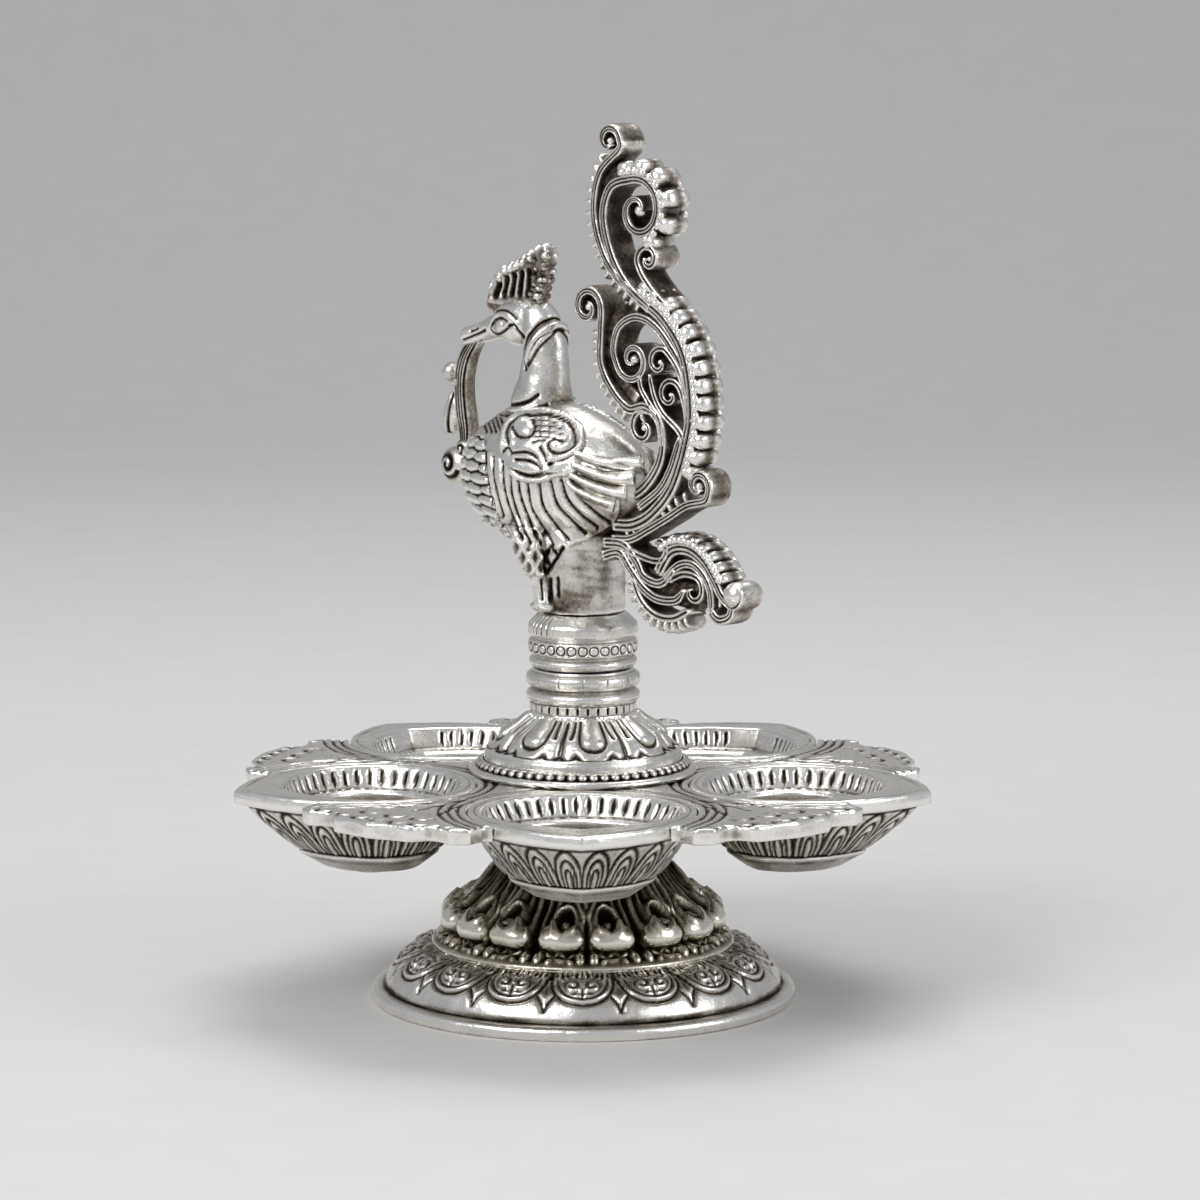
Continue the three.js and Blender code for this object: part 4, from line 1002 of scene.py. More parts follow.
def build_bead_ring(lamp):
    low, high = node_box("beaded_ring")
    outer, inner = high[0], 20.9
    profile = moulding([
        [inner, low[2]], [outer - 0.2, low[2]], [outer, low[2] + 0.4], [outer - 0.15, high[2] - 0.5],
        [outer - 0.8, high[2]], [inner, high[2]],
    ], 0.2, 0.35)
    ring = spun("bead_ring", profile, 720)
    points = points_of(ring)
    angle, radius = polar(points)
    bead = np.abs(np.cos(angle * lamp.tray.bead_count / 2))
    face = step_up(radius - inner - 0.3, 0.5)
    relief(ring, face * (-0.7 * (1 - bead ** 0.7)))
    age_and_shade(ring, stain=0.9 * face * (1 - bead) ** 1.2 + 0.4 * (points[:, 2] < low[2] + 0.35))
    mount(ring, "tray", ["beaded_ring"], finish("bright"))


def build_fluted_collar(lamp):
    profile = moulding([
        [BORE_RADIUS, BOSS_TOP], [11.1, BOSS_TOP], [11.15, BOSS_TOP + 0.3], [11.15, FLUTE_TOP - 0.3],
        [11.1, FLUTE_TOP], [BORE_RADIUS, FLUTE_TOP],
    ], 0.2, 0.15)
    collar = spun("fluted_collar_band", profile, 512)
    points = points_of(collar)
    angle, radius = polar(points)
    flute = np.cos(angle * lamp.tray.flute_count)
    middle = 1 - np.clip(np.abs(points[:, 2] - (BOSS_TOP + FLUTE_TOP) / 2) / 0.85, 0, 1) ** 4
    face = (radius > 10).astype(float) * middle
    cut = np.clip(-flute - 0.45, 0, 1) / 0.55
    relief(collar, -0.4 * face * cut)
    age_and_shade(collar, stain=0.75 * face * cut + 0.5 * (radius > 10) * (1 - middle) - 0.1)
    mount(collar, "tray", ["fluted_collar"], finish("bright"))


def ring_corners(radius, foot, top, neck, groove):
    """Corners of a rounded ring over a narrower neck."""
    middle = (foot + top) / 2
    return [[radius - 0.9, foot], [radius - 0.15, foot + 0.55], [radius, middle],
            [radius - 0.15, top - 0.55], [radius - 0.9, top], [neck, top + 0.1], [neck, top + groove]]


def build_ring_collar(lamp):
    lower_top = FLUTE_TOP + 2.6
    upper_foot = lower_top + 0.7
    corners = [[BORE_RADIUS, COLLAR_TOP], [BORE_RADIUS, FLUTE_TOP], [10.9, FLUTE_TOP]]
    corners += ring_corners(11.9, FLUTE_TOP + 0.05, lower_top, 10.8, 0.6)
    corners += ring_corners(12.0, upper_foot, upper_foot + 3.0, 10.7, 0.68)
    collar = spun("ring_collar_turning", moulding(corners, 0.22, 0.3), 256)
    points = points_of(collar)
    angle, radius = polar(points)
    outer = (radius > 10.2).astype(float)
    worn = waver(points, 6, 61)
    relief(collar, outer * 0.09 * worn)
    upper = between(points[:, 2] - upper_foot, 0.6, 0.3, 2.4, 0.3)
    notch = crease((sector(angle, 14) + 0.05 * waver(points, 9, 62)) * 14, 0.35) * upper
    relief(collar, -0.12 * notch * outer)
    age_and_shade(collar, stain=outer * (0.3 * notch + 0.12 * worn) - 0.06, recess=0.18)
    mount(collar, "tray", ["ring_collar"], finish("bright"))


def build_pedestal(lamp):
    lower_top = PEDESTAL_FOOT + 2.3
    band_foot = lower_top + 0.6
    band_top = PLINTH_FOOT - 0.6
    corners = [[BORE_RADIUS, PLINTH_FOOT], [BORE_RADIUS, PEDESTAL_FOOT], [10.4, PEDESTAL_FOOT]]
    corners += ring_corners(11.35, PEDESTAL_FOOT + 0.05, lower_top, 10.5, 0.5)
    corners += [[11.0, band_foot], [11.35, band_foot + 0.35], [11.4, band_top - 0.35], [11.0, band_top],
                [10.6, band_top + 0.1], [10.6, PLINTH_FOOT]]
    piece = spun("pearl_pedestal", moulding(corners, 0.16, 0.2), 512)
    points = points_of(piece)
    angle, radius = polar(points)
    outer = (radius > 10).astype(float)
    pearls = lamp.figure.pearl_count
    across = sector(angle, pearls) * 2 * math.pi * 11.4 / pearls
    plane = np.column_stack([across, points[:, 2] - (band_foot + band_top) / 2])
    away = np.hypot(plane[:, 0], plane[:, 1])
    circle = crease(away - 0.95, 0.17) * outer
    patchy = step_up(0.75 + waver(points, 16, 64), 0.5)
    worn = waver(points, 6, 63)
    pearl = dome(plane, [0, 0], 0.85)
    relief(piece, outer * (0.06 * worn - 0.22 * circle * patchy + 0.12 * pearl * patchy))
    age_and_shade(piece, stain=outer * (0.6 * circle * patchy + 0.12 * worn) - 0.06, recess=0.18)
    mount(piece, "figure", ["pedestal"], finish("bright"))


def build_plinth(lamp):
    top = FIGURE_FOOT
    slope = np.add([[11.0, 0], [11.45, 0.5], [11.45, 2.4], [11.1, 3.0], [10.3, 3.7]], [0, PLINTH_FOOT])
    corners = [[BORE_RADIUS, top], [BORE_RADIUS, PLINTH_FOOT], *slope, [9.2, top - 0.15], [8.6, top]]
    piece = spun("plinth_slope", moulding(corners, 0.2, 0.5), 512)
    points = points_of(piece)
    angle, radius = polar(points)
    outer = (radius > 8).astype(float)
    # Toe marks and short strokes on the side that the bird faces
    facing = np.cos(angle - math.radians(155))
    front = step_up(facing, 0.5) * outer
    stroke = np.clip(np.cos(angle * 44 + 0.8 * waver(points, 8, 71)) - 0.55, 0, 1) / 0.45
    band = between(points[:, 2] - PLINTH_FOOT, 0.6, 0.3, 4.2, 0.5)
    worn = waver(points, 5, 72)
    relief(piece, outer * 0.1 * worn - 0.28 * front * stroke * band)
    solder = step_up(waver(points, 11, 73) - 0.1, 0.3) * step_up(points[:, 2] - top + 1.2, 0.8)
    age_and_shade(piece, stain=0.5 * front * stroke * band + 0.35 * solder * outer + 0.1 * worn - 0.05, recess=0.2)
    mount(piece, "figure", ["plinth"], finish("bright"))


def dress_fixings(lamp):
    for node in ("tie_rod", "washer", "clamp_nut"):
        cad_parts[node].data.materials.clear()
        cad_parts[node].data.materials.append(finish("steel"))


# Peacock. Ornament on its sides is drawn in a quarter view, [across, up], and mirrored to both sides.

# Tangent of the camera's 7.91 degrees, over the root of two
QUARTER_TILT = 0.0982


def quarter_view(points):
    """Where each point shows to an eye half to the bird's side and 8 degrees above it."""
    side = np.abs(points[:, 1])
    return np.column_stack([points[:, 0] - side, points[:, 2] - QUARTER_TILT * (points[:, 0] + side)])


BODY_FRONT, BODY_REAR, BODY_MIDDLE = 32.5, 20.5, 27.8
BODY_HALF_HEIGHT, BODY_HALF_WIDTH = 15.5, 13.25


def fullness(along):
    """The torso's half height and width as a share of their most, from breast -1 to rump 1."""
    along = np.clip(along, -1, 1)
    front = np.clip(1 - np.abs(np.minimum(along, 0)) ** 2.1, 0, 1) ** 0.47
    rear = np.clip(1 - np.maximum(along, 0) ** 1.5, 0, 1) ** 0.62
    return np.where(along < 0, front, rear)


def torso_rows(count=70, around=96):
    middle = (BODY_REAR - BODY_FRONT) / 2
    half = (BODY_REAR + BODY_FRONT) / 2
    angle = np.linspace(0, 2 * math.pi, around, endpoint=False)
    rows = []
    for along in -np.cos(np.linspace(0, math.pi, count)):
        along = np.clip(along, -0.9995, 0.9995)
        full = float(fullness(along))
        rows.append(np.column_stack([
            np.full(around, middle + half * along),
            BODY_HALF_WIDTH * full * np.cos(angle),
            BODY_MIDDLE + BODY_HALF_HEIGHT * full * np.sin(angle),
        ]))
    return capped(rows)


def torso_side(rearward, height, grow):
    """Half width of the torso's skin at a side-view point, or 0 outside it."""
    middle = (BODY_REAR - BODY_FRONT) / 2
    half = (BODY_REAR + BODY_FRONT) / 2 + grow
    full = fullness((rearward - middle) / half)
    tall = BODY_HALF_HEIGHT * full + grow
    wide = BODY_HALF_WIDTH * full + grow
    return wide * np.sqrt(np.clip(1 - ((height - BODY_MIDDLE) / np.maximum(tall, 1e-3)) ** 2, 0, None))


# Lines between the long feathers that fall from the wing, in the quarter view
RIB_LINES = [
    [(-26.3, 32.3), (-26.2, 28.0), (-25.3, 24.9), (-23.4, 20)],
    [(-23.5, 31.9), (-23.2, 26.6), (-21.2, 20.9), (-17.7, 15.2)],
    [(-21.3, 29.4), (-20.8, 24.4), (-18.5, 19.1), (-15.2, 14.3)],
    [(-18.9, 27.2), (-18.1, 23.7), (-15.5, 18.7), (-12.7, 14.3)],
    [(-16.2, 26.6), (-14.9, 21.5), (-11.6, 17.3), (-8.8, 13.8)],
    [(-12.7, 26.4), (-11.4, 21.5), (-7.6, 17.6), (-4.2, 14.9)],
    [(-9.3, 26.8), (-7.4, 22.1), (-3.1, 18.6), (0.8, 16.1)],
    [(-6.2, 27.0), (-4.3, 23.1), (-0.5, 19.9), (4.2, 17.4)],
    [(-3.2, 27.2), (-0.9, 23.8), (3.9, 20.2), (7.9, 18.3)],
    [(0.3, 27.9), (3.6, 24.7), (8.8, 21.5)],
    [(1.9, 29.4), (5.2, 26.8), (9.4, 24.3)],
    [(-28.6, 34.0), (-28.4, 29.5), (-27.6, 26.2), (-26.2, 22.4)],
]


def body_solids():
    """Torso, leg column, neck, head, beak and legs, each a closed solid."""
    parts = [wrapped("torso", torso_rows())]
    deselect_all()
    bpy.ops.mesh.primitive_cylinder_add(vertices=96, radius=8.8 * MM, depth=24 * MM,
                                        location=(0, 0, 12.2 * MM))
    bpy.ops.object.transform_apply(location=True)
    parts.append(bpy.context.object)
    head_up, head_forward = 59.2, 17.5
    parts.append(limb("neck", [
        [-12.2, 0, 38.5, 7.6], [-11.9, 0, 43, 6.7], [-11.3, 0, 47.5, 5.5], [-11.0, 0, 52, 4.9],
        [-11.4, 0, 56, 4.6], [-12.4, 0, 59.5, 4.2], [-14.2, 0, 61.5, 3.6],
    ], 48))
    parts.append(pebble("head", [-head_forward, 0, head_up], [8.1, 4.7, 5.1]))
    parts.append(limb("beak", [
        [-21.5, 0, head_up - 0.4, 3.5], [-25.0, 0, head_up - 1.2, 2.8], [-28.5, 0, head_up - 2.4, 2.35],
        [-32.0, 0, head_up - 3.4, 2.2], [-34.5, 0, head_up - 4.0, 2.15], [-35.0, 0, head_up - 4.1, 1.9],
    ]))
    for side in (-1, 1):
        parts.append(limb("thigh", [
            [-7.0, side * 8.0, 19.5, 3.8], [-6.6, side * 9.2, 15.5, 3.5], [-5.4, side * 9.4, 11.5, 2.8],
            [-4.2, side * 9.2, 8.2, 2.0], [-3.2, side * 9.0, 4.6, 1.8], [-2.4, side * 9.0, 1.8, 2.0],
        ]))
        parts.append(pebble("foot", [-3.0, side * 8.9, 1.5], [3.3, 1.9, 1.2]))
    return parts


def on_torso(points):
    up = points[:, 2]
    return (up > 11.5) & (up < 44) & (np.hypot(points[:, 0], points[:, 1]) > 8.2)


def breast_marks(points, view):
    """Ribs that fall from the wing, and rows of small leaf-shaped beads over the breast."""
    side, up = np.abs(points[:, 1]), points[:, 2]
    torso = on_torso(points)
    ribs_zone = torso & (side > 0.8) & (view[:, 1] < 33.5)
    groove = np.full(len(points), 2.4)
    for line in RIB_LINES:
        groove = np.minimum(groove, distance(view, smooth_line(line, 0.8), 2.4))
    rib_region = inside(view, smooth_line([
        (-28.8, 34), (-28.4, 26), (-25, 18.4), (-19, 13.6), (-12, 12.2), (-4, 13.2), (4, 15.6), (9, 18),
        (11, 21), (9.5, 25), (4, 30), (-3, 31.5), (-20, 31),
    ], 0.8, closed=True))
    ribbed = step_up(rib_region, 0.8) * ribs_zone
    crown = np.sqrt(1 - (1 - np.clip(groove / 1.25, 0, 1)) ** 2)
    breast = inside(view, [(-35.5, 38), (-29.0, 37.5), (-28, 31), (-27.0, 26), (-24, 20), (-20.5, 14),
                           (-23, 13), (-31, 22), (-36, 30)])
    beaded = step_up(breast, 0.6) * torso * (points[:, 0] < -14)
    between_ribs = step_up(groove - 1.8, 0.4) * ribs_zone * (points[:, 0] < -11) * (up < 30)
    beaded = np.maximum(beaded, between_ribs)
    row = up / 2.35
    column = side / 2.3 + 0.5 * (np.floor(row) % 2)
    bead = dome(np.column_stack([(column % 1 - 0.5) * 2.3, (row % 1 - 0.5) * 2.35]), [0, 0], 1.25)
    height = ribbed * (1.15 * crown - 0.85) + beaded * (1.2 * bead - 0.6)
    stain = 0.34 * crease(groove, 0.42) * ribbed + beaded * 0.45 * (1 - np.clip(bead * 1.5, 0, 1))
    return height, stain


def neck_marks(points, view):
    """Hatched strokes under the neck's collar, and rings round its root."""
    up = points[:, 2]
    strokes = [[(x, 41.6 - 0.12 * i), (x + 1.9, 37.9 - 0.1 * i)]
               for i, x in enumerate(np.arange(-30.5, -24, 1.45))]
    hatch = traced(view, strokes, 0.5) * on_torso(points)
    rings = drawn(
        view, 0.5,
        [(-28.2, 43.4), (-27.0, 42.2), (-22.5, 41.0), (-18.5, 41.1), (-14.5, 42.2), (-10.5, 43.0)],
        [(-24.4, 44.6), (-20.9, 43.4), (-16.3, 43.9), (-13.2, 45.2)],
    ) * (up > 40)
    collar = drawn(view, 0.5, [(-26.6, 43.9), (-22, 42.2), (-17.2, 42.5), (-13.6, 43.6)]) * (up > 41)
    return 0.6 * collar - (0.4 * hatch + 0.5 * rings), 0.35 * hatch + 0.4 * rings


def head_marks(points, view):
    """Almond eye, brow, cheek and beak lines, and the lappet that falls down the neck."""
    head = (points[:, 2] > 49).astype(float)
    eye = smooth_line([(-27.2, 59.9), (-26.0, 61.3), (-24.4, 61.7), (-22.7, 61.1), (-21.7, 60.1),
                       (-23.2, 58.9), (-25.1, 58.4), (-26.5, 58.9)], 0.4, closed=True)
    brow = smooth_line([(-27.4, 62.4), (-26.2, 63.2), (-24.0, 63.5), (-21.7, 62.8), (-19.8, 61.4)], 0.5)
    fine = traced(view, [eye, brow], 0.3) * head
    lid = traced(view, [eye + [0, 0.75], brow + [0, -0.9]], 0.4) * head
    pupil = dome(view, (-24.6, 60.1), 1.05) * head
    cheek = [(-21.9, 59.9), (-20.4, 60.1), (-19.4, 59.0), (-17.5, 57.4)]
    slit = [(-36.2, 57.6), (-32.8, 58.5), (-29.4, 59.4)]
    nostril = [(-33.6, 59.5), (-31.6, 60.0)]
    ruff = [(-8.0, 61.6), (-12.2, 60.4), (-14.6, 58.9), (-16.6, 57.0), (-17.4, 54.3), (-16.9, 50.6)]
    lines = drawn(view, 0.38, cheek, slit, ruff, nostril, step=0.5) * head
    lappet = inside(view, smooth_line([
        (-8.0, 60.9), (-12.2, 59.6), (-15.3, 57.1), (-16.8, 54.3), (-16.5, 50.8), (-13.0, 54.8),
        (-8.7, 57.9), (-6.6, 59.6),
    ], 0.6, closed=True))
    neck_side = head * (points[:, 0] > -16.5)
    fold = drawn(view, 0.34, [(-8.1, 58.9), (-12.4, 57.0), (-14.6, 54.6), (-16.2, 51.6)]) * neck_side
    height = 0.5 * pupil + 0.35 * lid - 0.36 * fine - 0.5 * lines - 0.3 * fold
    height += 0.95 * step_up(lappet, 0.9) * neck_side
    stain = 0.5 * fine + 0.45 * lines + 0.4 * fold + 0.3 * crease(lappet, 0.4) * neck_side
    return height, stain


def leg_marks(points, view):
    """Thigh feathers, and diamonds and toe lines on the shank and foot."""
    side, up = np.abs(points[:, 1]), points[:, 2]
    leg = ((up < 18) & (side > 6.5)).astype(float)
    diamonds = [[(-13.6, 13.2), (-11.4, 11.2), (-9.4, 13.4)], [(-9.4, 13.4), (-7.4, 11.4), (-5.8, 13.2)],
                [(-12.6, 10.6), (-10.6, 8.2), (-8.4, 10.4)], [(-11.4, 11.2), (-9.6, 9.2), (-7.4, 11.4)],
                [(-12.0, 6.2), (-11.8, 2.6)], [(-9.6, 6.4), (-9.4, 2.6)], [(-7.4, 6.6), (-7.2, 3.4)]]
    lines = traced(view, [resampled(np.array(line), 0.6) for line in diamonds], 0.55) * leg
    slant, lean = view[:, 0] * 0.9 + view[:, 1] * 0.7, view[:, 0] * 0.9 - view[:, 1] * 0.7
    standing_off = step_up(np.hypot(points[:, 0], side) - 9.1, 0.6)
    feathered = leg * step_up(up - 7.5, 1.0) * standing_off * (points[:, 0] < -2)
    plumes = (1 - np.abs(np.sin(slant) * np.sin(lean))) * feathered
    bare = lines * (1 - feathered)
    return 0.5 * plumes - 0.4 * bare, 0.3 * (1 - plumes) * feathered + 0.45 * bare


def body_tarnish(points):
    """Stain without relief: scratches on the column, black at the tail's root, one foot and the nape."""
    column = (points[:, 2] < 14) & (np.hypot(points[:, 0], points[:, 1]) < 9.3)
    scratches = np.clip(waver(points * [1, 1, 5], 6, 84), 0, 1)
    stain = column * (0.08 + 0.22 * waver(points, 7, 82) + 0.25 * scratches)
    for centre, reach, depth in (
        ([12.5, 0, 20.5], 7.5, 0.55), ([3.5, -8.5, 2.0], 3.6, 0.5), ([-8.5, 0, 44.0], 4.2, 0.42),
    ):
        stain += depth * crease(np.linalg.norm(points - centre, axis=1), reach)
    return stain + 0.08 * waver(points, 5, 83)


def build_bird_body(lamp):
    body = remeshed(joined(body_solids(), "peacock_body"), 0.34, 6)
    points = points_of(body)
    view = quarter_view(points)
    height, stain = breast_marks(points, view)
    for marks in (neck_marks, head_marks, leg_marks):
        raised, stained = marks(points, view)
        height, stain = height + raised, stain + stained
    relief(body, height + 0.09 * waver(points, 4, 81))
    age_and_shade(body, stain=stain + body_tarnish(points) - 0.06, recess=0.2)
    mount_figure(body, "bird_body")


WING_BORDER = smooth_line([
    (-24.9, 35), (-24.1, 38), (-22.2, 40.8), (-17.5, 42.5), (-12.4, 42.9), (-7.3, 42.5), (-2.7, 41),
    (0.1, 38.6), (1.2, 35), (0.3, 32), (0.4, 28.8), (-4, 27.4), (-8.1, 27.2), (-11.1, 26.3),
    (-14.6, 26.2), (-18.1, 26.7), (-21.0, 28.2), (-22.7, 31),
], 0.8, closed=True)


def wing_ornament(view):
    """Height and stain of the medallion: rings, a plain boss, a curl, hatching and crossed leaves."""
    raised = drawn(
        view, 0.85,
        [(-23.6, 35.0), (-22.9, 37.6), (-21.2, 39.9), (-17.2, 41.5), (-12.4, 41.9), (-7.6, 41.4),
         (-3.6, 40.0), (-1.2, 38.0), (-0.3, 35.2), (-1.4, 33.2), (-4.0, 31.8), (-8.0, 30.6)],
    )
    cut = drawn(
        view, 0.46,
        [(-21.9, 35.0), (-22.4, 37.1), (-21.1, 39.3), (-18.5, 40.6), (-14.9, 41.0), (-9.4, 40.9),
         (-5.5, 39.8), (-2.9, 38.0), (-2.0, 35.5), (-3.0, 33.8), (-5.4, 32.8), (-8.3, 32.8),
         (-10.2, 34.0), (-9.7, 35.2), (-7.7, 35.7), (-5.9, 35.3)],
        [(-20.6, 38.4), (-19.5, 36.9), (-17.7, 36.3), (-15.1, 36.7), (-14.1, 38.3), (-14.7, 39.9)],
        [(-20.9, 32.9), (-16.8, 33.0), (-13.9, 32.0), (-12.0, 29.6)],
        [(-19.7, 31.6), (-15.9, 31.3), (-13.5, 30.4), (-12.0, 29.3)],
        [(-12.5, 33.9), (-11.6, 32.8), (-10.7, 31.2)],
        [(-10.0, 30.4), (-5.4, 31.2), (-1.9, 32.5), (0.3, 33.4)],
        [(-23.6, 33.2), (-22.2, 34.2), (-20.9, 33.0)],
    )
    ring = drawn(
        view, 0.55,
        [(-20.6, 35.0), (-20.9, 37.0), (-19.6, 38.7), (-17.6, 39.6)],
        [(-5.0, 38.6), (-3.9, 37.1), (-3.6, 35.6), (-5.2, 34.2), (-8.0, 33.9), (-9.0, 34.6)],
        [(-20.2, 32.3), (-16.4, 32.2), (-13.4, 31.2), (-11.6, 29.0)],
        [(-10.6, 31.6), (-5.8, 32.0), (-2.0, 33.4)],
    )
    hatch = traced(view, [
        [(-14.2, 39.8), (-11.5, 39.9), (-7.9, 39.2)], [(-13.6, 38.7), (-10.5, 38.7), (-6.5, 38.0)],
        [(-13.6, 37.5), (-10.6, 37.5), (-6.3, 36.9)], [(-14.0, 36.3), (-11.1, 36.4), (-8.2, 36.2)],
        [(-14.7, 35.2), (-12.7, 35.6), (-11.0, 35.6)], [(-12.4, 40.3), (-12.6, 36.6)],
        [(-9.9, 40.2), (-10.0, 36.4)],
    ], 0.36)
    boss = dome(view, (-17.4, 38.5), 2.6)
    bead = dome(view, (-8.3, 34.4), 1.2)
    lip = inside(view, smooth_line([
        (-21.3, 29.9), (-19.0, 29.5), (-15.5, 28.8), (-12.0, 29.2), (-9.0, 28.9), (-5.1, 28.5),
        (-0.6, 29.3), (-4.1, 28.1), (-8.1, 28.0), (-11.1, 27.2), (-14.6, 27.1), (-18.1, 27.6),
        (-20.4, 28.7),
    ], 0.6, closed=True))
    hollow = step_up(lip, 0.7)
    height = (0.65 * raised + 0.4 * ring - 0.5 * cut - 0.3 * hatch + 0.55 * boss + 0.45 * bead
              - 0.8 * hollow)
    stain = 0.3 * cut + 0.25 * hatch + 0.3 * crease(lip, 0.4) + 0.1 * hollow
    return height, stain


def wing_pad(side, name):
    """Medallion that lies on the torso's skin, backed to a thin casting."""
    rearward, upward = np.arange(-16, 14, 0.34), np.arange(24, 45, 0.34)
    deselect_all()
    bpy.ops.mesh.primitive_grid_add(x_subdivisions=len(rearward) - 1, y_subdivisions=len(upward) - 1,
                                    size=MM)
    pad = named(bpy.context.object, name)
    u, z = (grid.ravel() for grid in np.meshgrid(rearward, upward))
    border = inside(quarter_view(np.column_stack([u, torso_side(u, z, 0), z])), WING_BORDER)
    under = torso_side(u, z, -0.5)
    set_points(pad, np.column_stack([u, side * (under + step_up(border + 0.15, 1.1) * 1.9), z]))
    with editing("DESELECT"):
        bpy.ops.mesh.select_mode(type="VERT")
    pad.data.vertices.foreach_set("select", (border <= -0.9) | (under <= 1.5))
    with editing():
        bpy.ops.mesh.delete(type="VERT")
        bpy.ops.mesh.select_all(action="SELECT")
        bpy.ops.mesh.normals_make_consistent(inside=False)
    if np.mean(normals_of(pad)[:, 1]) * side < 0:
        select_only(pad)
        with editing("SELECT"):
            bpy.ops.mesh.flip_normals()
    points = averaged(points_of(pad), links_of(pad), 3)
    set_points(pad, points)
    view = quarter_view(points)
    border = inside(view, WING_BORDER)
    height, stain = wing_ornament(view)
    relief(pad, height * step_up(border, 0.5))
    age_and_shade(pad, stain=stain + 0.35 * crease(border - 0.1, 0.5) - 0.1, recess=0.2)
    backing = pad.modifiers.new("backing", "SOLIDIFY")
    backing.thickness = 0.9 * MM
    backing.offset = -1
    select_only(pad)
    bpy.ops.object.modifier_apply(modifier=backing.name)
    return pad


def feather_bundle(side, name):
    """Four barbed wing feathers that run back past the tail's root."""
    feathers = []
    for root, tip, radius in (
        ([7.0, 9.6, 34.2], [20.4, 3.0, 33.0], 1.7), ([7.4, 10.5, 32.0], [19.4, 4.2, 29.6], 1.75),
        ([7.2, 11.0, 30.2], [18.2, 5.2, 26.5], 1.75), ([6.6, 11.3, 28.8], [15.8, 6.4, 23.8], 1.6),
    ):
        root, tip = np.array(root) * [1, side, 1], np.array(tip) * [1, side, 1]
        sag = np.array([0, 0.5 * side, -0.9])
        stations = [np.append(root + (tip - root) * share + sag * math.sin(math.pi * share),
                              radius * (0.45 + 0.55 * share ** 0.7))
                    for share in (0, 0.25, 0.5, 0.75, 0.985)]
        stations.append(np.append(tip, radius * 0.82))
        feathers.append(limb("feather", stations, 24))
    plume = joined(feathers, name)
    points = points_of(plume)
    barbs = np.cos(points[:, 2] * 2.6 + points[:, 0] * 0.9) * 0.5 + 0.5
    tips = step_up(points[:, 0] - 15.5, 3)
    relief(plume, -0.16 * barbs + 0.1 * waver(points, 4, 85))
    # Painted shade on the faces that turn rearward, the feathers' cut ends
    end_face_shade = np.clip(normals_of(plume)[:, 0] - 0.75, 0, 0.25) * 4
    mottle = 0.12 * waver(points, 3, 86)
    age_and_shade(plume, stain=0.2 * barbs + 0.14 - 0.12 * tips + 0.3 * end_face_shade + mottle, recess=0.22, wide=6)
    return plume


def build_wings(lamp):
    for side, node in ((-1, "left_wing"), (1, "right_wing")):
        pad = wing_pad(side, node + "_pad")
        plume = feather_bundle(side, node + "_pad_feathers")
        mount_figure(pad, node)
        mount_figure(plume)


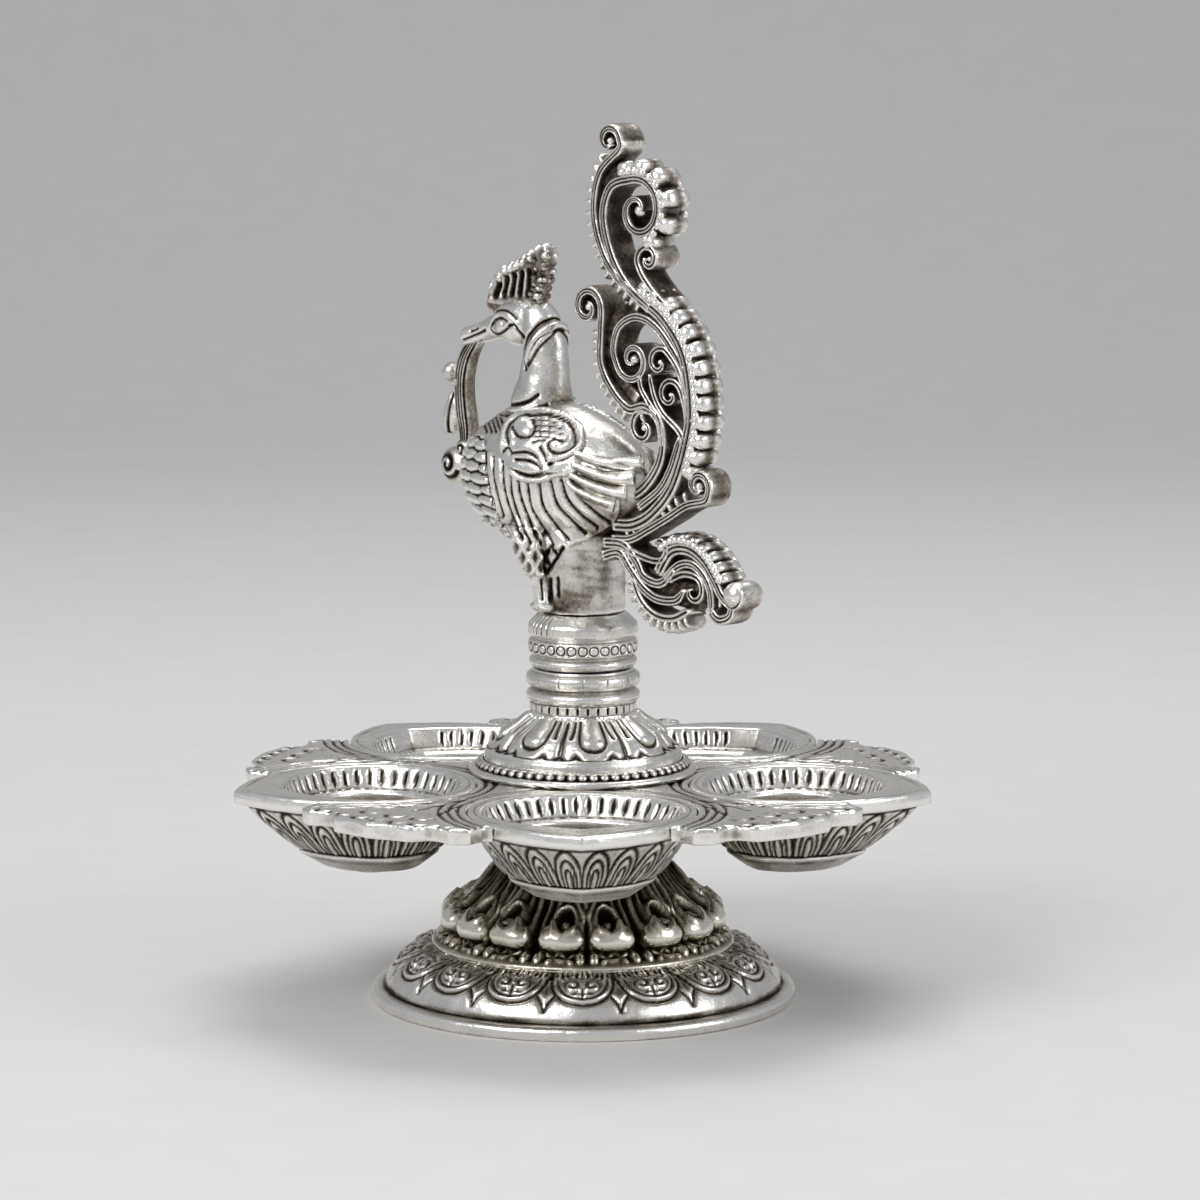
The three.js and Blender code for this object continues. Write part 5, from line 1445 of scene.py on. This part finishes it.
def build_crest(lamp):
    thick = 1.7
    outline = smooth_line([
        (-26.6, 61.2), (-26.8, 64.4), (-24.8, 67.8), (-21.3, 70.2), (-17.3, 72.2), (-13.3, 74.0),
        (-10.2, 75.4), (-9.0, 74.4), (-9.6, 71.2), (-10.4, 68.0), (-11.6, 64.6), (-12.4, 62.0),
        (-19, 60.6),
    ], 0.8, closed=True)
    deselect_all()
    bpy.ops.mesh.primitive_circle_add(vertices=len(outline) - 1, radius=MM, fill_type="NGON")
    comb = named(bpy.context.object, "crest_comb")
    flat = outline[:-1]
    set_points(comb, np.column_stack([flat[:, 0], np.full(len(flat), -thick), flat[:, 1]]))
    select_only(comb)
    with editing("SELECT"):
        bpy.ops.mesh.extrude_region_move(TRANSFORM_OT_translate={"value": (0, 2 * thick * MM, 0)})
        bpy.ops.mesh.select_all(action="SELECT")
        bpy.ops.mesh.normals_make_consistent(inside=False)
    comb = remeshed(comb, 0.3, 4)
    points = points_of(comb)
    flat = points[:, [0, 2]]
    slots = [[(-24.4, 64.6), (-23.2, 66.8)], [(-22.0, 65.0), (-21.0, 68.0)],
             [(-19.6, 65.3), (-18.8, 68.8)], [(-17.2, 65.4), (-16.6, 69.4)],
             [(-14.9, 65.3), (-14.4, 69.8)]]
    face = np.clip(np.abs(normals_of(comb)[:, 1]) - 0.3, 0, 1) / 0.7
    cut = traced(flat, slots, 0.72) * face
    ridge = drawn(flat, 0.6, [(-26.0, 63.4), (-22.6, 63.2), (-18.6, 63.6), (-14.0, 63.2)]) * face
    relief(comb, -1.2 * cut + 0.4 * ridge)
    age_and_shade(comb, stain=0.75 * cut + 0.27 + 0.2 * waver(points, 3, 92), recess=0.25)
    pellet = pebble("pellet", [0, 0, 0], [1, 1, 1], 14, 9)
    uneven = np.random.default_rng(93)
    top = smooth_line([
        (-26.0, 66.6), (-23.2, 69.4), (-19.8, 71.2), (-16.4, 72.8), (-13.2, 74.4), (-10.7, 75.2),
    ], 2.1)
    rear = smooth_line([(-9.6, 73.4), (-10.1, 71.0), (-10.7, 68.4), (-11.6, 65.8), (-12.6, 63.4)], 1.7)
    inner_row = smooth_line([(-12.4, 72.4), (-12.4, 70.0), (-12.7, 67.6), (-13.4, 65.4)], 1.7)
    band_row = smooth_line([(-23.4, 68.2), (-20.6, 70.0), (-17.4, 71.2), (-14.2, 72.4)], 2.0)

    def at(x, y, z, size):
        scale, shift = uneven.uniform(0.82, 1.15), uneven.uniform(-0.25, 0.25, 3) * [1, 0.3, 1]
        return lambda points: points * np.array(size) * scale + [x, y, z] + shift

    places = [at(x, 0, z - 0.2, [1.25, 1.55, 1.15]) for x, z in top]
    for row, lateral, size in (
        (rear, 1.25, [0.95, 1.15, 0.85]), (band_row, 1.6, [1.05, 0.9, 0.95]),
        (inner_row, 1.7, [0.8, 0.75, 0.75]),
    ):
        places += [at(x, side * lateral, z, size) for x, z in row for side in (-1, 1)]
    beads = joined(duplicates(pellet, places), "crest_pellets")
    points = points_of(beads)
    low = np.clip((np.interp(points[:, 0], top[:, 0], top[:, 1]) - points[:, 2]) / 5, 0, 1)
    age_and_shade(beads, stain=0.48 + 0.5 * waver(points, 2, 91) + 0.34 * low)
    mount_figure(comb, "crest")
    mount_figure(beads)


def build_vine(lamp):
    """Vine from the beak down to the breast: a fluted stalk, bud, hanging leaf, flower and ball curl."""
    route = smooth_line([
        [-30.2, 56.6], [-31.6, 54.6], [-34.1, 51.2], [-35.4, 47.2], [-35.6, 43.2], [-35.2, 39.2],
        [-34.4, 35.2], [-34.4, 31.8],
    ], 0.45)
    share = np.linspace(0, 1, len(route))
    wide = np.interp(share, [0, 0.15, 0.35, 0.75, 1], [2.8, 3.8, 4.9, 4.9, 3.6])
    deep = np.interp(share, [0, 0.3, 1], [2.8, 3.6, 3.8])
    stalk = swept("stalk", route, wide, deep, square=0.9)
    points = points_of(stalk)
    flutes = np.zeros(len(points))
    for k in (-0.55, -0.2, 0.15, 0.5):
        line = route + square_to(route) * (wide / 2 * k)[:, None]
        flutes = np.maximum(flutes, traced(points[:, [0, 2]], [line], 0.36))
    face = np.clip(np.abs(normals_of(stalk)[:, 1]) - 0.2, 0, 1)
    relief(stalk, -0.55 * flutes * face + 0.26 * waver(points, 4, 103))
    # Painted shade: the stalk is darker on its side towards the breast
    inner = step_up(points[:, 0] - np.interp(points[:, 2], route[::-1, 1], route[::-1, 0]) - 0.6, 1.4)
    age_and_shade(stalk, stain=0.55 * flutes * face + 0.32 * inner + 0.1 + 0.16 * waver(points, 6, 104))
    bud = pebble("bud", [-39.2, 0, 47.4], [2.1, 2.3, 2.1])
    bud_base = pebble("bud_base", [-37.4, 0, 45.4], [1.9, 1.7, 1.2])
    leaf = pebble("leaf", [-38.8, 0, 38.9], [2.5, 1.9, 5.0])
    points = points_of(leaf)
    lean = (points[:, 2] - 38.9) / 4.9
    points[:, 0] += -1.1 * np.clip(-lean, 0, 1) + 0.9 * np.clip(lean, 0, 1)
    points[:, 0] = -38.8 + (points[:, 0] + 38.8) * (1 - 0.35 * np.clip(lean, 0, 1))
    set_points(leaf, points)
    trough = crease(points[:, 0] + 38.8 - 0.9 * lean, 0.45) * (np.abs(points[:, 1]) > 0.6)
    relief(leaf, -0.5 * trough)
    age_and_shade(leaf, stain=0.5 * trough + 0.35)
    for ball in (bud, bud_base):
        age_and_shade(ball, stain=0.36 + 0.2 * waver(points_of(ball), 2.5, 105))
    flower = pebble("flower", [-34.6, 0, 31.6], [2.4, 2.9, 2.3], 48, 32)
    ornament(flower, spiral([-34.6, 31.6], 2.0, 0.4, 60, 500, 50), 0.55, 0.42)
    ball = pebble("curl_ball", [-37.6, 0, 27.7], [4.3, 3.4, 4.0], 64, 44)
    ornament(ball, spiral([-38.2, 28.0], 3.4, 0.5, -30, -520, 60), 0.8, 0.6)
    vine = joined([stalk, bud, bud_base, leaf, flower, ball], "beak_vine_stalk")
    mount_figure(vine, "beak_vine")


def ornament(piece, line, depth, width):
    """Cuts a line into both faces of a piece that lies in the bird's upright plane."""
    points = points_of(piece)
    face = np.clip(np.abs(normals_of(piece)[:, 1]) - 0.15, 0, 1)
    cut = traced(points[:, [0, 2]], [line], width) * face
    relief(piece, -depth * cut)
    age_and_shade(piece, stain=0.75 * cut + 0.1)


# Scroll tail

def swept(name, route, wide, deep, square=0.5):
    """Flat band along a route in the bird's upright plane, with rounded edges."""
    along = np.gradient(route, axis=0)
    along /= np.linalg.norm(along, axis=1)[:, None]
    angle = np.linspace(0, 2 * math.pi, 44, endpoint=False)
    # A squared oval keeps the band's faces flat and its edges soft
    across = np.sign(np.cos(angle)) * np.abs(np.cos(angle)) ** square
    outward = np.sign(np.sin(angle)) * np.abs(np.sin(angle)) ** (0.84 * square)
    rows = []
    for (x, z), (dx, dz), w, d in zip(route, along, wide, deep):
        rows.append(np.column_stack([
            x - dz * across * w / 2, outward * d / 2, z + dx * across * w / 2,
        ]))
    return wrapped(name, capped(rows))


def scroll_route(shape, step=0.45):
    """Smooth stem with its curl, as one even line."""
    stem = np.asarray(shape.stem, float)
    if shape.curl:
        sweep = shape.curl[-1]
        stem = np.vstack([stem, spiral(*shape.curl, max(8, int(abs(sweep) / 30)))])
    return smooth_line(stem, step)


def scroll_band(shape, thickness):
    """Cast band of a scroll with engraved lines, or the rough plain web behind it."""
    route = scroll_route(shape)
    share = np.linspace(0, 1, len(route))
    root, end = shape.width
    wide = root + (end - root) * share
    # The last of the band narrows to its tip
    wide = wide * np.clip(0.55 + 6 * (1 - share), 0, 1) * 1.02
    band = swept("band", route, wide, np.full(len(route), thickness))
    points = points_of(band)
    face = np.clip((np.abs(normals_of(band)[:, 1]) - 0.5) / 0.4, 0, 1)
    if shape.web:
        grain = waver(points, 1.6, 101)
        relief(band, 0.12 * grain * face)
        age_and_shade(band, stain=0.5 + 0.12 * grain)
        return band
    lines = [route + square_to(route) * (wide / 2 * k)[:, None]
             for k in ((-0.36, 0.36) if root > 2.1 else (0.0,))]
    cut = traced(points[:, [0, 2]], lines, 0.33) * face
    relief(band, -0.4 * cut)
    wall = np.clip(1 - np.abs(normals_of(band)[:, 1]) * 1.6, 0, 1)
    mottle = waver(points, 3.5, 102)
    age_and_shade(band, stain=0.6 * cut + 0.5 * wall - 0.16 * face + 0.16 * mottle, recess=0.24, wide=4)
    return band


class Scroll(NamedTuple):
    """Tail scroll in [rearward, height]: stem, width at root and end, and its curl's eye, outer radius,
    inner radius, start and sweep. A web is the thin rough plate between scrolls."""
    stem: list
    width: tuple
    curl: tuple = ()
    web: bool = False


# The upright fan
TAIL = {
    "main_arch": Scroll(
        [[12, 19.5], [17.8, 20], [23.3, 22.8], [28.8, 28.6], [32.6, 38], [33.6, 45.1], [31.6, 55.4],
         [25.6, 62.6], [17.5, 67.3], [11.9, 73.7], [9.1, 82.2], [11.1, 88.4]],
        (3.2, 2), ([18.9, 84], 6.7, 1.2, 112, -470)),
    "outer_band": Scroll(
        [[22.2, 64.3], [12.1, 71], [7.8, 77.2], [6.2, 84.5], [8.1, 91.5]],
        (2.4, 1.8), ([10.6, 97.9], 3.4, 1, -30, 330)),
    "small_curl": Scroll(
        [[27.7, 64.6], [23.7, 67.6], [20.4, 70.9]], (2, 1.5), ([21.9, 74.3], 3.1, 0.8, 190, -380)),
    "left_frame": Scroll(
        [[13, 25], [18.5, 26.5], [22.3, 29.4], [25.1, 33.4], [25.9, 38], [24.6, 42.2], [20.8, 44.2],
         [16.2, 43.6], [11.4, 47.2], [8.2, 52.4], [8.2, 58.2]],
        (2.8, 1.8), ([4.4, 63.7], 4.1, 1, -8, 440)),
    "inner_arch": Scroll(
        [[33.3, 42], [32.3, 49.8], [29.9, 54.6], [24, 60.6], [18.4, 62.4], [13.6, 60.2], [12, 56]],
        (2.4, 1.6), ([17.4, 53.7], 4.7, 1, 190, 420)),
    "upper_tendril": Scroll(
        [[32.6, 46.5], [31.8, 49.5], [30, 53]], (1.8, 1.4), ([25, 53.6], 3.1, 0.8, 50, 330)),
    "lower_tendril": Scroll(
        [[33, 41.5], [32.4, 45], [31, 48.4]], (1.8, 1.4), ([28, 47.2], 3, 0.8, 60, 330)),
    "left_sprig": Scroll([[25.6, 38.5], [24.9, 42], [22, 45.4], [20, 48], [19.4, 50.6]], (2, 1.4)),
    "right_sprig": Scroll([[32.4, 37], [30.6, 40], [26, 43.4], [23.6, 46.8], [22.4, 51]], (2, 1.4)),
    "foot_curl": Scroll(
        [[25.8, 36.6], [25.4, 40], [23.4, 43]], (2, 1.5), ([20.4, 39.9], 3.8, 0.8, 75, 380)),
    "mid_stem": Scroll([[19, 23.5], [25, 27.7], [28.2, 32.2], [30.8, 38.6]], (2.2, 2)),
    "lower_edge": Scroll(
        [[11.5, 16.4], [16.6, 16.8], [21.8, 19.2], [27.5, 22.2], [32.6, 25]],
        (2.2, 2), ([35.8, 29.2], 3.4, 0.9, -60, 360)),
    "root_web": Scroll([[12, 22], [19, 23.5], [25, 29.5], [29.5, 36]], (5, 3), web=True),
    "left_web": Scroll(
        [[17.4, 45.4], [11.6, 50.4], [10, 56.5], [11.6, 61.5], [18, 65]], (2.8, 3.4), web=True),
    "head_web": Scroll([[8.2, 77], [7.4, 84.5], [10, 90.5], [14.5, 92]], (2.6, 3.4), web=True),
}

# The lower tail
DROP = {
    "upper_band": Scroll(
        [[9, 15.5], [14.7, 15.4], [18.5, 12.2], [20.6, 9.4], [25.3, 8.5], [29.4, 11.6]], (2.6, 2.2)),
    "crook": Scroll([[15.5, 14.6], [22, 13.2]], (2, 1.6), ([25, 15.6], 2.5, 1.4, -90, 220)),
    "upper_arch": Scroll(
        [[24.6, 10.6], [28.2, 15.2], [33, 16], [37.2, 14], [40.1, 10.9], [42.3, 7.7], [44.8, 5.9]],
        (3, 2), ([45.6, 8], 2.2, 1, -80, 250)),
    "middle_arch": Scroll(
        [[26.6, 9.6], [30.5, 12.6], [34.2, 13.1], [37.5, 11], [39.4, 7.6], [39.6, 3.6]], (2.2, 2)),
    "inner_arch": Scroll([[28, 9.4], [31.5, 10.9]], (1.9, 1.5), ([34.6, 7.7], 3.2, 0.9, 90, -290)),
    "lower_band": Scroll(
        [[8.5, 12.5], [13.3, 13.6], [16.4, 10.6], [20, 7.2], [24.3, 5.2], [29.5, 5.4], [32, 7.6]],
        (2.4, 2.2)),
    "lower_edge": Scroll([[17.3, 9], [19.6, 4.6], [23.6, 1.9], [28.6, 1.6], [33.4, 3.6]], (2, 2)),
    "end_foot": Scroll([[38.6, 4.8], [41.4, 2.6], [44.6, 3.6], [45.2, 6.2]], (2.4, 2)),
    "web": Scroll([[13, 13.6], [19, 9.6], [26, 7.2], [34, 6.4], [41, 6.4]], (4, 6.5), web=True),
}


def along_edge(shape, start, end, count, side, lift):
    """Places beside a scroll's edge, each with the direction of the scroll there."""
    route = scroll_route(shape, 0.3)
    root, tip = shape.width
    shares = np.linspace(start, end, count)
    at = shares * (len(route) - 1)
    spots = np.stack([np.interp(at, np.arange(len(route)), route[:, k]) for k in (0, 1)], axis=1)
    along = np.gradient(route, axis=0)
    along = np.stack([np.interp(at, np.arange(len(route)), along[:, k]) for k in (0, 1)], axis=1)
    along /= np.linalg.norm(along, axis=1)[:, None]
    across = np.stack([-along[:, 1], along[:, 0]], axis=1) * side
    offset = (root + (tip - root) * shares) / 2 + lift
    return [(spot + normal * reach, run, normal)
            for spot, normal, run, reach in zip(spots, across, along, offset)]


def placed(spot, run, normal, lateral=0.0):
    """Moves a shape drawn in [along, side, outward] to a place on the tail."""
    def move(points):
        flat = spot + points[:, :1] * run + points[:, 2:] * normal
        return np.column_stack([flat[:, 0], points[:, 1] + lateral, flat[:, 1]])
    return move


def knuckle(name, half_along, half_side, half_out, power):
    """Rounded block: a sphere drawn towards a box."""
    block = pebble(name, [0, 0, 0], [1, 1, 1], 20, 14)
    points = points_of(block)
    points = np.sign(points) * np.abs(points) ** power
    points *= np.array([half_along, half_side, half_out])
    set_points(block, points)
    return block


def build_tail_parts(node, scrolls, thickness, lobes, fringe, extras):
    """A scroll tail: its bands, the barrel lobes down its back, and its bead rows and toothed fringe.

    lobes: scroll, start, end, count, side, half length and half height.
    fringe: scroll, start, end, count and side.
    """
    bands = [scroll_band(shape, 0.5 * thickness if shape.web else thickness - 0.06 * i)
             for i, shape in enumerate(scrolls.values())]
    scroll = joined(bands, node + "_scrolls")
    mount_figure(scroll, node)
    blocks, curls = [], []
    # Each barrel lobe narrows outwards and is pinched at its waist
    for key, start, end, count, side, half_along, half_out in lobes:
        places = along_edge(scrolls[key], start, end, count, side, half_out * 0.62)
        block = knuckle("lobe", half_along, 3.75, half_out, 0.66)
        points = points_of(block)
        outward = points[:, 2] / half_out
        points[:, 1] *= 1 - 0.12 * np.clip(outward, 0, 1) ** 2
        waist = crease(points[:, 1], 1.5)
        points[:, 2] -= 0.35 * waist * np.clip(outward, 0, 1)
        set_points(block, points)
        shade = 1.1 * np.clip(np.abs(points[:, 0]) / half_along - 0.5, 0, 1)
        age_and_shade(block, stain=shade + 0.45 * np.clip(-outward, 0, 1) + 0.08 + 0.08 * waist, wide=4)
        blocks += duplicates(block, [placed(*place) for place in places])
        inner = along_edge(scrolls[key], start, end, 2 * count, side, 0.5)
        bead = pebble("bead", [0, 0, 0], [0.95, 0.85, 0.8], 12, 8)
        age_and_shade(bead, stain=0.1)
        curls += duplicates(bead, [placed(*place, lateral)
                                   for place in inner for lateral in (-3.45, 3.45)])
    for key, start, end, count, side in fringe:
        places = along_edge(scrolls[key], start, end, count, side, 0.7)
        tooth = knuckle("tooth", 0.7, 3.1, 1.7, 0.8)
        age_and_shade(tooth, stain=0.22, wide=3)
        curls += duplicates(tooth, [placed(*place) for place in places])
    lobes_piece = joined(blocks, node + "_lobes")
    mount_figure(lobes_piece)
    trim = joined(curls + extras, node + "_beading")
    mount_figure(trim)


def build_tail_fan(lamp):
    pearl = pebble("pearl", [0, 0, 0], [1, 1, 1], 16, 12)
    age_and_shade(pearl, stain=0.0)
    # A pearl in the eye of each curl: eye, radius, half depth
    pearls = [([18.9, 84.0], 1.9, 3.6), ([10.6, 97.9], 1.3, 3.4), ([21.9, 74.3], 1.1, 3.3),
              ([4.4, 63.7], 1.4, 3.4), ([17.4, 53.7], 1.5, 3.4), ([25.0, 53.6], 1.1, 3.3),
              ([28.0, 47.2], 1.0, 3.3), ([20.4, 39.9], 1.3, 3.3), ([35.8, 29.2], 1.2, 3.4)]
    places = [lambda points, s=spot, r=radius, d=deep: points * [r, d, r] + [s[0], 0, s[1]]
              for spot, radius, deep in pearls]
    build_tail_parts(
        "tail_fan", TAIL, 7.4,
        lobes=[("main_arch", 0.19, 0.5, lamp.figure.back_lobes, -1, 1.75, 1.9),
               ("main_arch", 0.735, 0.88, 6, 1, 1.9, 1.9)],
        fringe=[("outer_band", 0.06, 0.66, 17, 1), ("left_frame", 0.4, 0.68, 12, 1),
                ("lower_edge", 0.1, 0.55, 9, 1)],
        extras=duplicates(pearl, places))


def build_tail_drop(lamp):
    centre = [45.6, 0, 8.0]
    knob = pebble("knob", centre, [1, 1, 1], 32, 24)
    points = points_of(knob) - centre
    points = np.sign(points) * np.abs(points) ** [1, 0.45, 1] * [2.6, 4.4, 2.6]
    set_points(knob, points + centre)
    age_and_shade(knob, stain=0.0)
    build_tail_parts(
        "tail_drop", DROP, 7.0,
        lobes=[("upper_arch", 0.14, 0.6, 8, 1, 1.25, 1.3)],
        fringe=[("lower_edge", 0.02, 0.9, 11, -1), ("upper_band", 0.28, 0.5, 4, -1)],
        extras=[knob])


# Stage

def studio_floor():
    """Sheet of floor that turns up into a backdrop along its rear edge."""
    deselect_all()
    bpy.ops.mesh.primitive_plane_add(size=4.0, location=(0, 0, 0))
    floor = named(bpy.context.object, "studio_floor")
    with editing():
        bpy.ops.mesh.select_mode(type="EDGE")
        bpy.ops.mesh.select_all(action="DESELECT")

    def pick_rear_edge():
        for edge in floor.data.edges:
            ends = [floor.data.vertices[i].co for i in edge.vertices]
            edge.select = all(end.y > 1.9 and abs(end.z) < 0.1 for end in ends)

    pick_rear_edge()
    with editing():
        bpy.ops.mesh.extrude_region_move(TRANSFORM_OT_translate={"value": (0, 0, 2.4)})
        bpy.ops.mesh.select_all(action="DESELECT")
    pick_rear_edge()
    with editing():
        bpy.ops.mesh.bevel(offset=0.9, segments=24)
    bpy.ops.object.shade_smooth()
    return floor


def build_stage(lamp):
    """Pale floor and backdrop, soft lamps and the camera."""
    stage = lamp.stage
    floor = studio_floor()
    floor.data.materials.append(studio_paper(stage.paper_light, stage.paper_shade))
    world = bpy.data.worlds.new("studio air")
    bpy.context.scene.world = world
    world.use_nodes = True
    air = world.node_tree
    air.nodes.clear()
    sky = add_node(air, "ShaderNodeBackground", {"Color": linear("#E8ECF2"), "Strength": stage.air})
    add_node(air, "ShaderNodeOutputWorld", {"Surface": sky.outputs["Background"]})
    # Each soft lamp's place in metres, its width and its power
    lamps = [
        ("key", (-0.75, -0.85, 0.95), 0.8, stage.key_power),
        ("fill", (0.95, -0.55, 0.55), 0.7, stage.fill_power),
        ("top", (0.1, 0.35, 1.2), 0.7, stage.top_power),
    ]
    for name, place, size, power in lamps:
        bpy.ops.object.light_add(type="AREA", location=place)
        light = bpy.context.object
        light.name = light.data.name = name + "_softbox"
        light.data.size = size
        light.data.energy = power
        direction = np.array([0, 0, 0.09]) - place
        flat = math.hypot(direction[0], direction[1])
        light.rotation_euler = (
            math.atan2(flat, -direction[2]), 0, math.atan2(direction[1], direction[0]) - math.pi / 2)
    # The photograph's eye: a metre off, looking 7.91 degrees down through a long lens
    bpy.ops.object.camera_add(location=(3.55 * MM, -989.0 * MM, 221.2 * MM),
                              rotation=(math.radians(90 - 7.91), 0, 0))
    camera = bpy.context.object
    camera.data.lens = 144
    camera.data.sensor_width = 36
    bpy.context.scene.camera = camera
    bpy.context.scene.view_settings.view_transform = "Standard"


# Settings a user would change

def counted(name, description, default, least):
    return IntProperty(name=name, description=description, default=default, min=least)


class FootSettings(bpy.types.PropertyGroup):
    lotus_count: counted("Lotus motifs", "Motifs round the foot's dome", 16, 6)
    petal_pairs: counted("Petal pairs", "Double petals round the bell", 8, 4)


class TraySettings(bpy.types.PropertyGroup):
    cup_petals: counted("Cup petals", "Petals carved round each cup", 18, 6)
    cup_slots: counted("Cup slots", "Slots cut round each cup's wall", 48, 12)
    boss_petals: counted("Boss petals", "Petals on the boss", 8, 4)
    bead_count: counted("Beads", "Beads round the boss's ledge", 60, 12)
    flute_count: counted("Flutes", "Flutes round the collar", 32, 8)


class FigureSettings(bpy.types.PropertyGroup):
    pearl_count: counted("Pearls", "Pearls round the pedestal", 30, 8)
    back_lobes: counted("Back lobes", "Lobes down the back of the tail", 13, 4)


class StageSettings(bpy.types.PropertyGroup):
    paper_light: StringProperty(name="Paper", description="The floor's paper", default="#D6D4D2")
    paper_shade: StringProperty(name="Paper shade", description="Its darker fibres", default="#D0CECC")
    air: FloatProperty(name="Air", description="Light from all round", default=0.5, min=0)
    key_power: FloatProperty(name="Key", description="Lamp at the front left", default=11, unit="POWER")
    fill_power: FloatProperty(name="Fill", description="Lamp at the right", default=4, unit="POWER")
    top_power: FloatProperty(name="Top", description="Lamp overhead", default=6, unit="POWER")


class LampSettings(bpy.types.PropertyGroup):
    foot: PointerProperty(type=FootSettings)
    tray: PointerProperty(type=TraySettings)
    figure: PointerProperty(type=FigureSettings)
    stage: PointerProperty(type=StageSettings)


class LampOperator:
    """Runs one builder with the scene's lamp settings."""
    bl_options = {"REGISTER", "UNDO"}
    builders = ()

    def execute(self, context):
        for build in self.builders:
            build(context.scene.peacock_lamp)
        return {"FINISHED"}


class LAMP_OT_foot(LampOperator, bpy.types.Operator):
    """Turned rim, lotus dome and lobed bell"""
    bl_idname = "lamp.foot"
    bl_label = "Foot"
    builders = (build_foot_rim, build_foot_dome, build_bell)


class LAMP_OT_cups(LampOperator, bpy.types.Operator):
    """Five pointed oil cups, one shape turned to its places"""
    bl_idname = "lamp.cups"
    bl_label = "Oil Cups"
    builders = (build_cups,)


class LAMP_OT_tray(LampOperator, bpy.types.Operator):
    """Leaf tray between the cups"""
    bl_idname = "lamp.tray"
    bl_label = "Leaf Tray"
    builders = (build_tray,)


class LAMP_OT_boss(LampOperator, bpy.types.Operator):
    """Petal boss with its bead ring"""
    bl_idname = "lamp.boss"
    bl_label = "Boss"
    builders = (build_boss, build_bead_ring)


class LAMP_OT_collars(LampOperator, bpy.types.Operator):
    """Fluted collar, rings, pearl pedestal and plinth"""
    bl_idname = "lamp.collars"
    bl_label = "Collars and Plinth"
    builders = (build_fluted_collar, build_ring_collar, build_pedestal, build_plinth)


class LAMP_OT_fixings(LampOperator, bpy.types.Operator):
    """Steel finish of the rod, washer and nut"""
    bl_idname = "lamp.fixings"
    bl_label = "Fixings"
    builders = (dress_fixings,)


class LAMP_OT_bird(LampOperator, bpy.types.Operator):
    """Peacock's body, neck, head, beak and legs"""
    bl_idname = "lamp.bird"
    bl_label = "Peacock Body"
    builders = (build_bird_body,)


class LAMP_OT_wings(LampOperator, bpy.types.Operator):
    """Wing medallions and their feathers"""
    bl_idname = "lamp.wings"
    bl_label = "Wings"
    builders = (build_wings,)


class LAMP_OT_crest(LampOperator, bpy.types.Operator):
    """Comb and pellets of the crest"""
    bl_idname = "lamp.crest"
    bl_label = "Crest"
    builders = (build_crest,)


class LAMP_OT_vine(LampOperator, bpy.types.Operator):
    """Vine that hangs from the beak"""
    bl_idname = "lamp.vine"
    bl_label = "Beak Vine"
    builders = (build_vine,)


class LAMP_OT_tail(LampOperator, bpy.types.Operator):
    """Pierced scroll tail and the drop below it"""
    bl_idname = "lamp.tail"
    bl_label = "Scroll Tail"
    builders = (build_tail_fan, build_tail_drop)


class LAMP_OT_stage(LampOperator, bpy.types.Operator):
    """Floor, soft lamps and camera"""
    bl_idname = "lamp.stage"
    bl_label = "Studio"
    builders = (build_stage,)


OPERATORS = (LAMP_OT_foot, LAMP_OT_cups, LAMP_OT_tray, LAMP_OT_boss, LAMP_OT_collars, LAMP_OT_fixings,
             LAMP_OT_bird, LAMP_OT_wings, LAMP_OT_crest, LAMP_OT_vine, LAMP_OT_tail, LAMP_OT_stage)


class LAMP_PT_panel(bpy.types.Panel):
    """Settings and builders of the lamp"""
    bl_idname = "LAMP_PT_panel"
    bl_label = "Peacock Oil Lamp"
    bl_space_type = "VIEW_3D"
    bl_region_type = "UI"
    bl_category = "Lamp"

    def draw(self, context):
        lamp = context.scene.peacock_lamp
        for group in (lamp.foot, lamp.tray, lamp.figure, lamp.stage):
            box = self.layout.box()
            for name in group.__annotations__:
                box.prop(group, name)
        for operator in OPERATORS:
            self.layout.operator(operator.bl_idname)


CLASSES = (FootSettings, TraySettings, FigureSettings, StageSettings, LampSettings, *OPERATORS,
           LAMP_PT_panel)


def register():
    for cls in CLASSES:
        bpy.utils.register_class(cls)
    bpy.types.Scene.peacock_lamp = PointerProperty(type=LampSettings)


def unregister():
    del bpy.types.Scene.peacock_lamp
    for cls in reversed(CLASSES):
        bpy.utils.unregister_class(cls)


def main():
    register()
    for operator in OPERATORS:
        getattr(bpy.ops.lamp, operator.bl_idname.split(".")[1])()


if __name__ == "__main__":
    main()
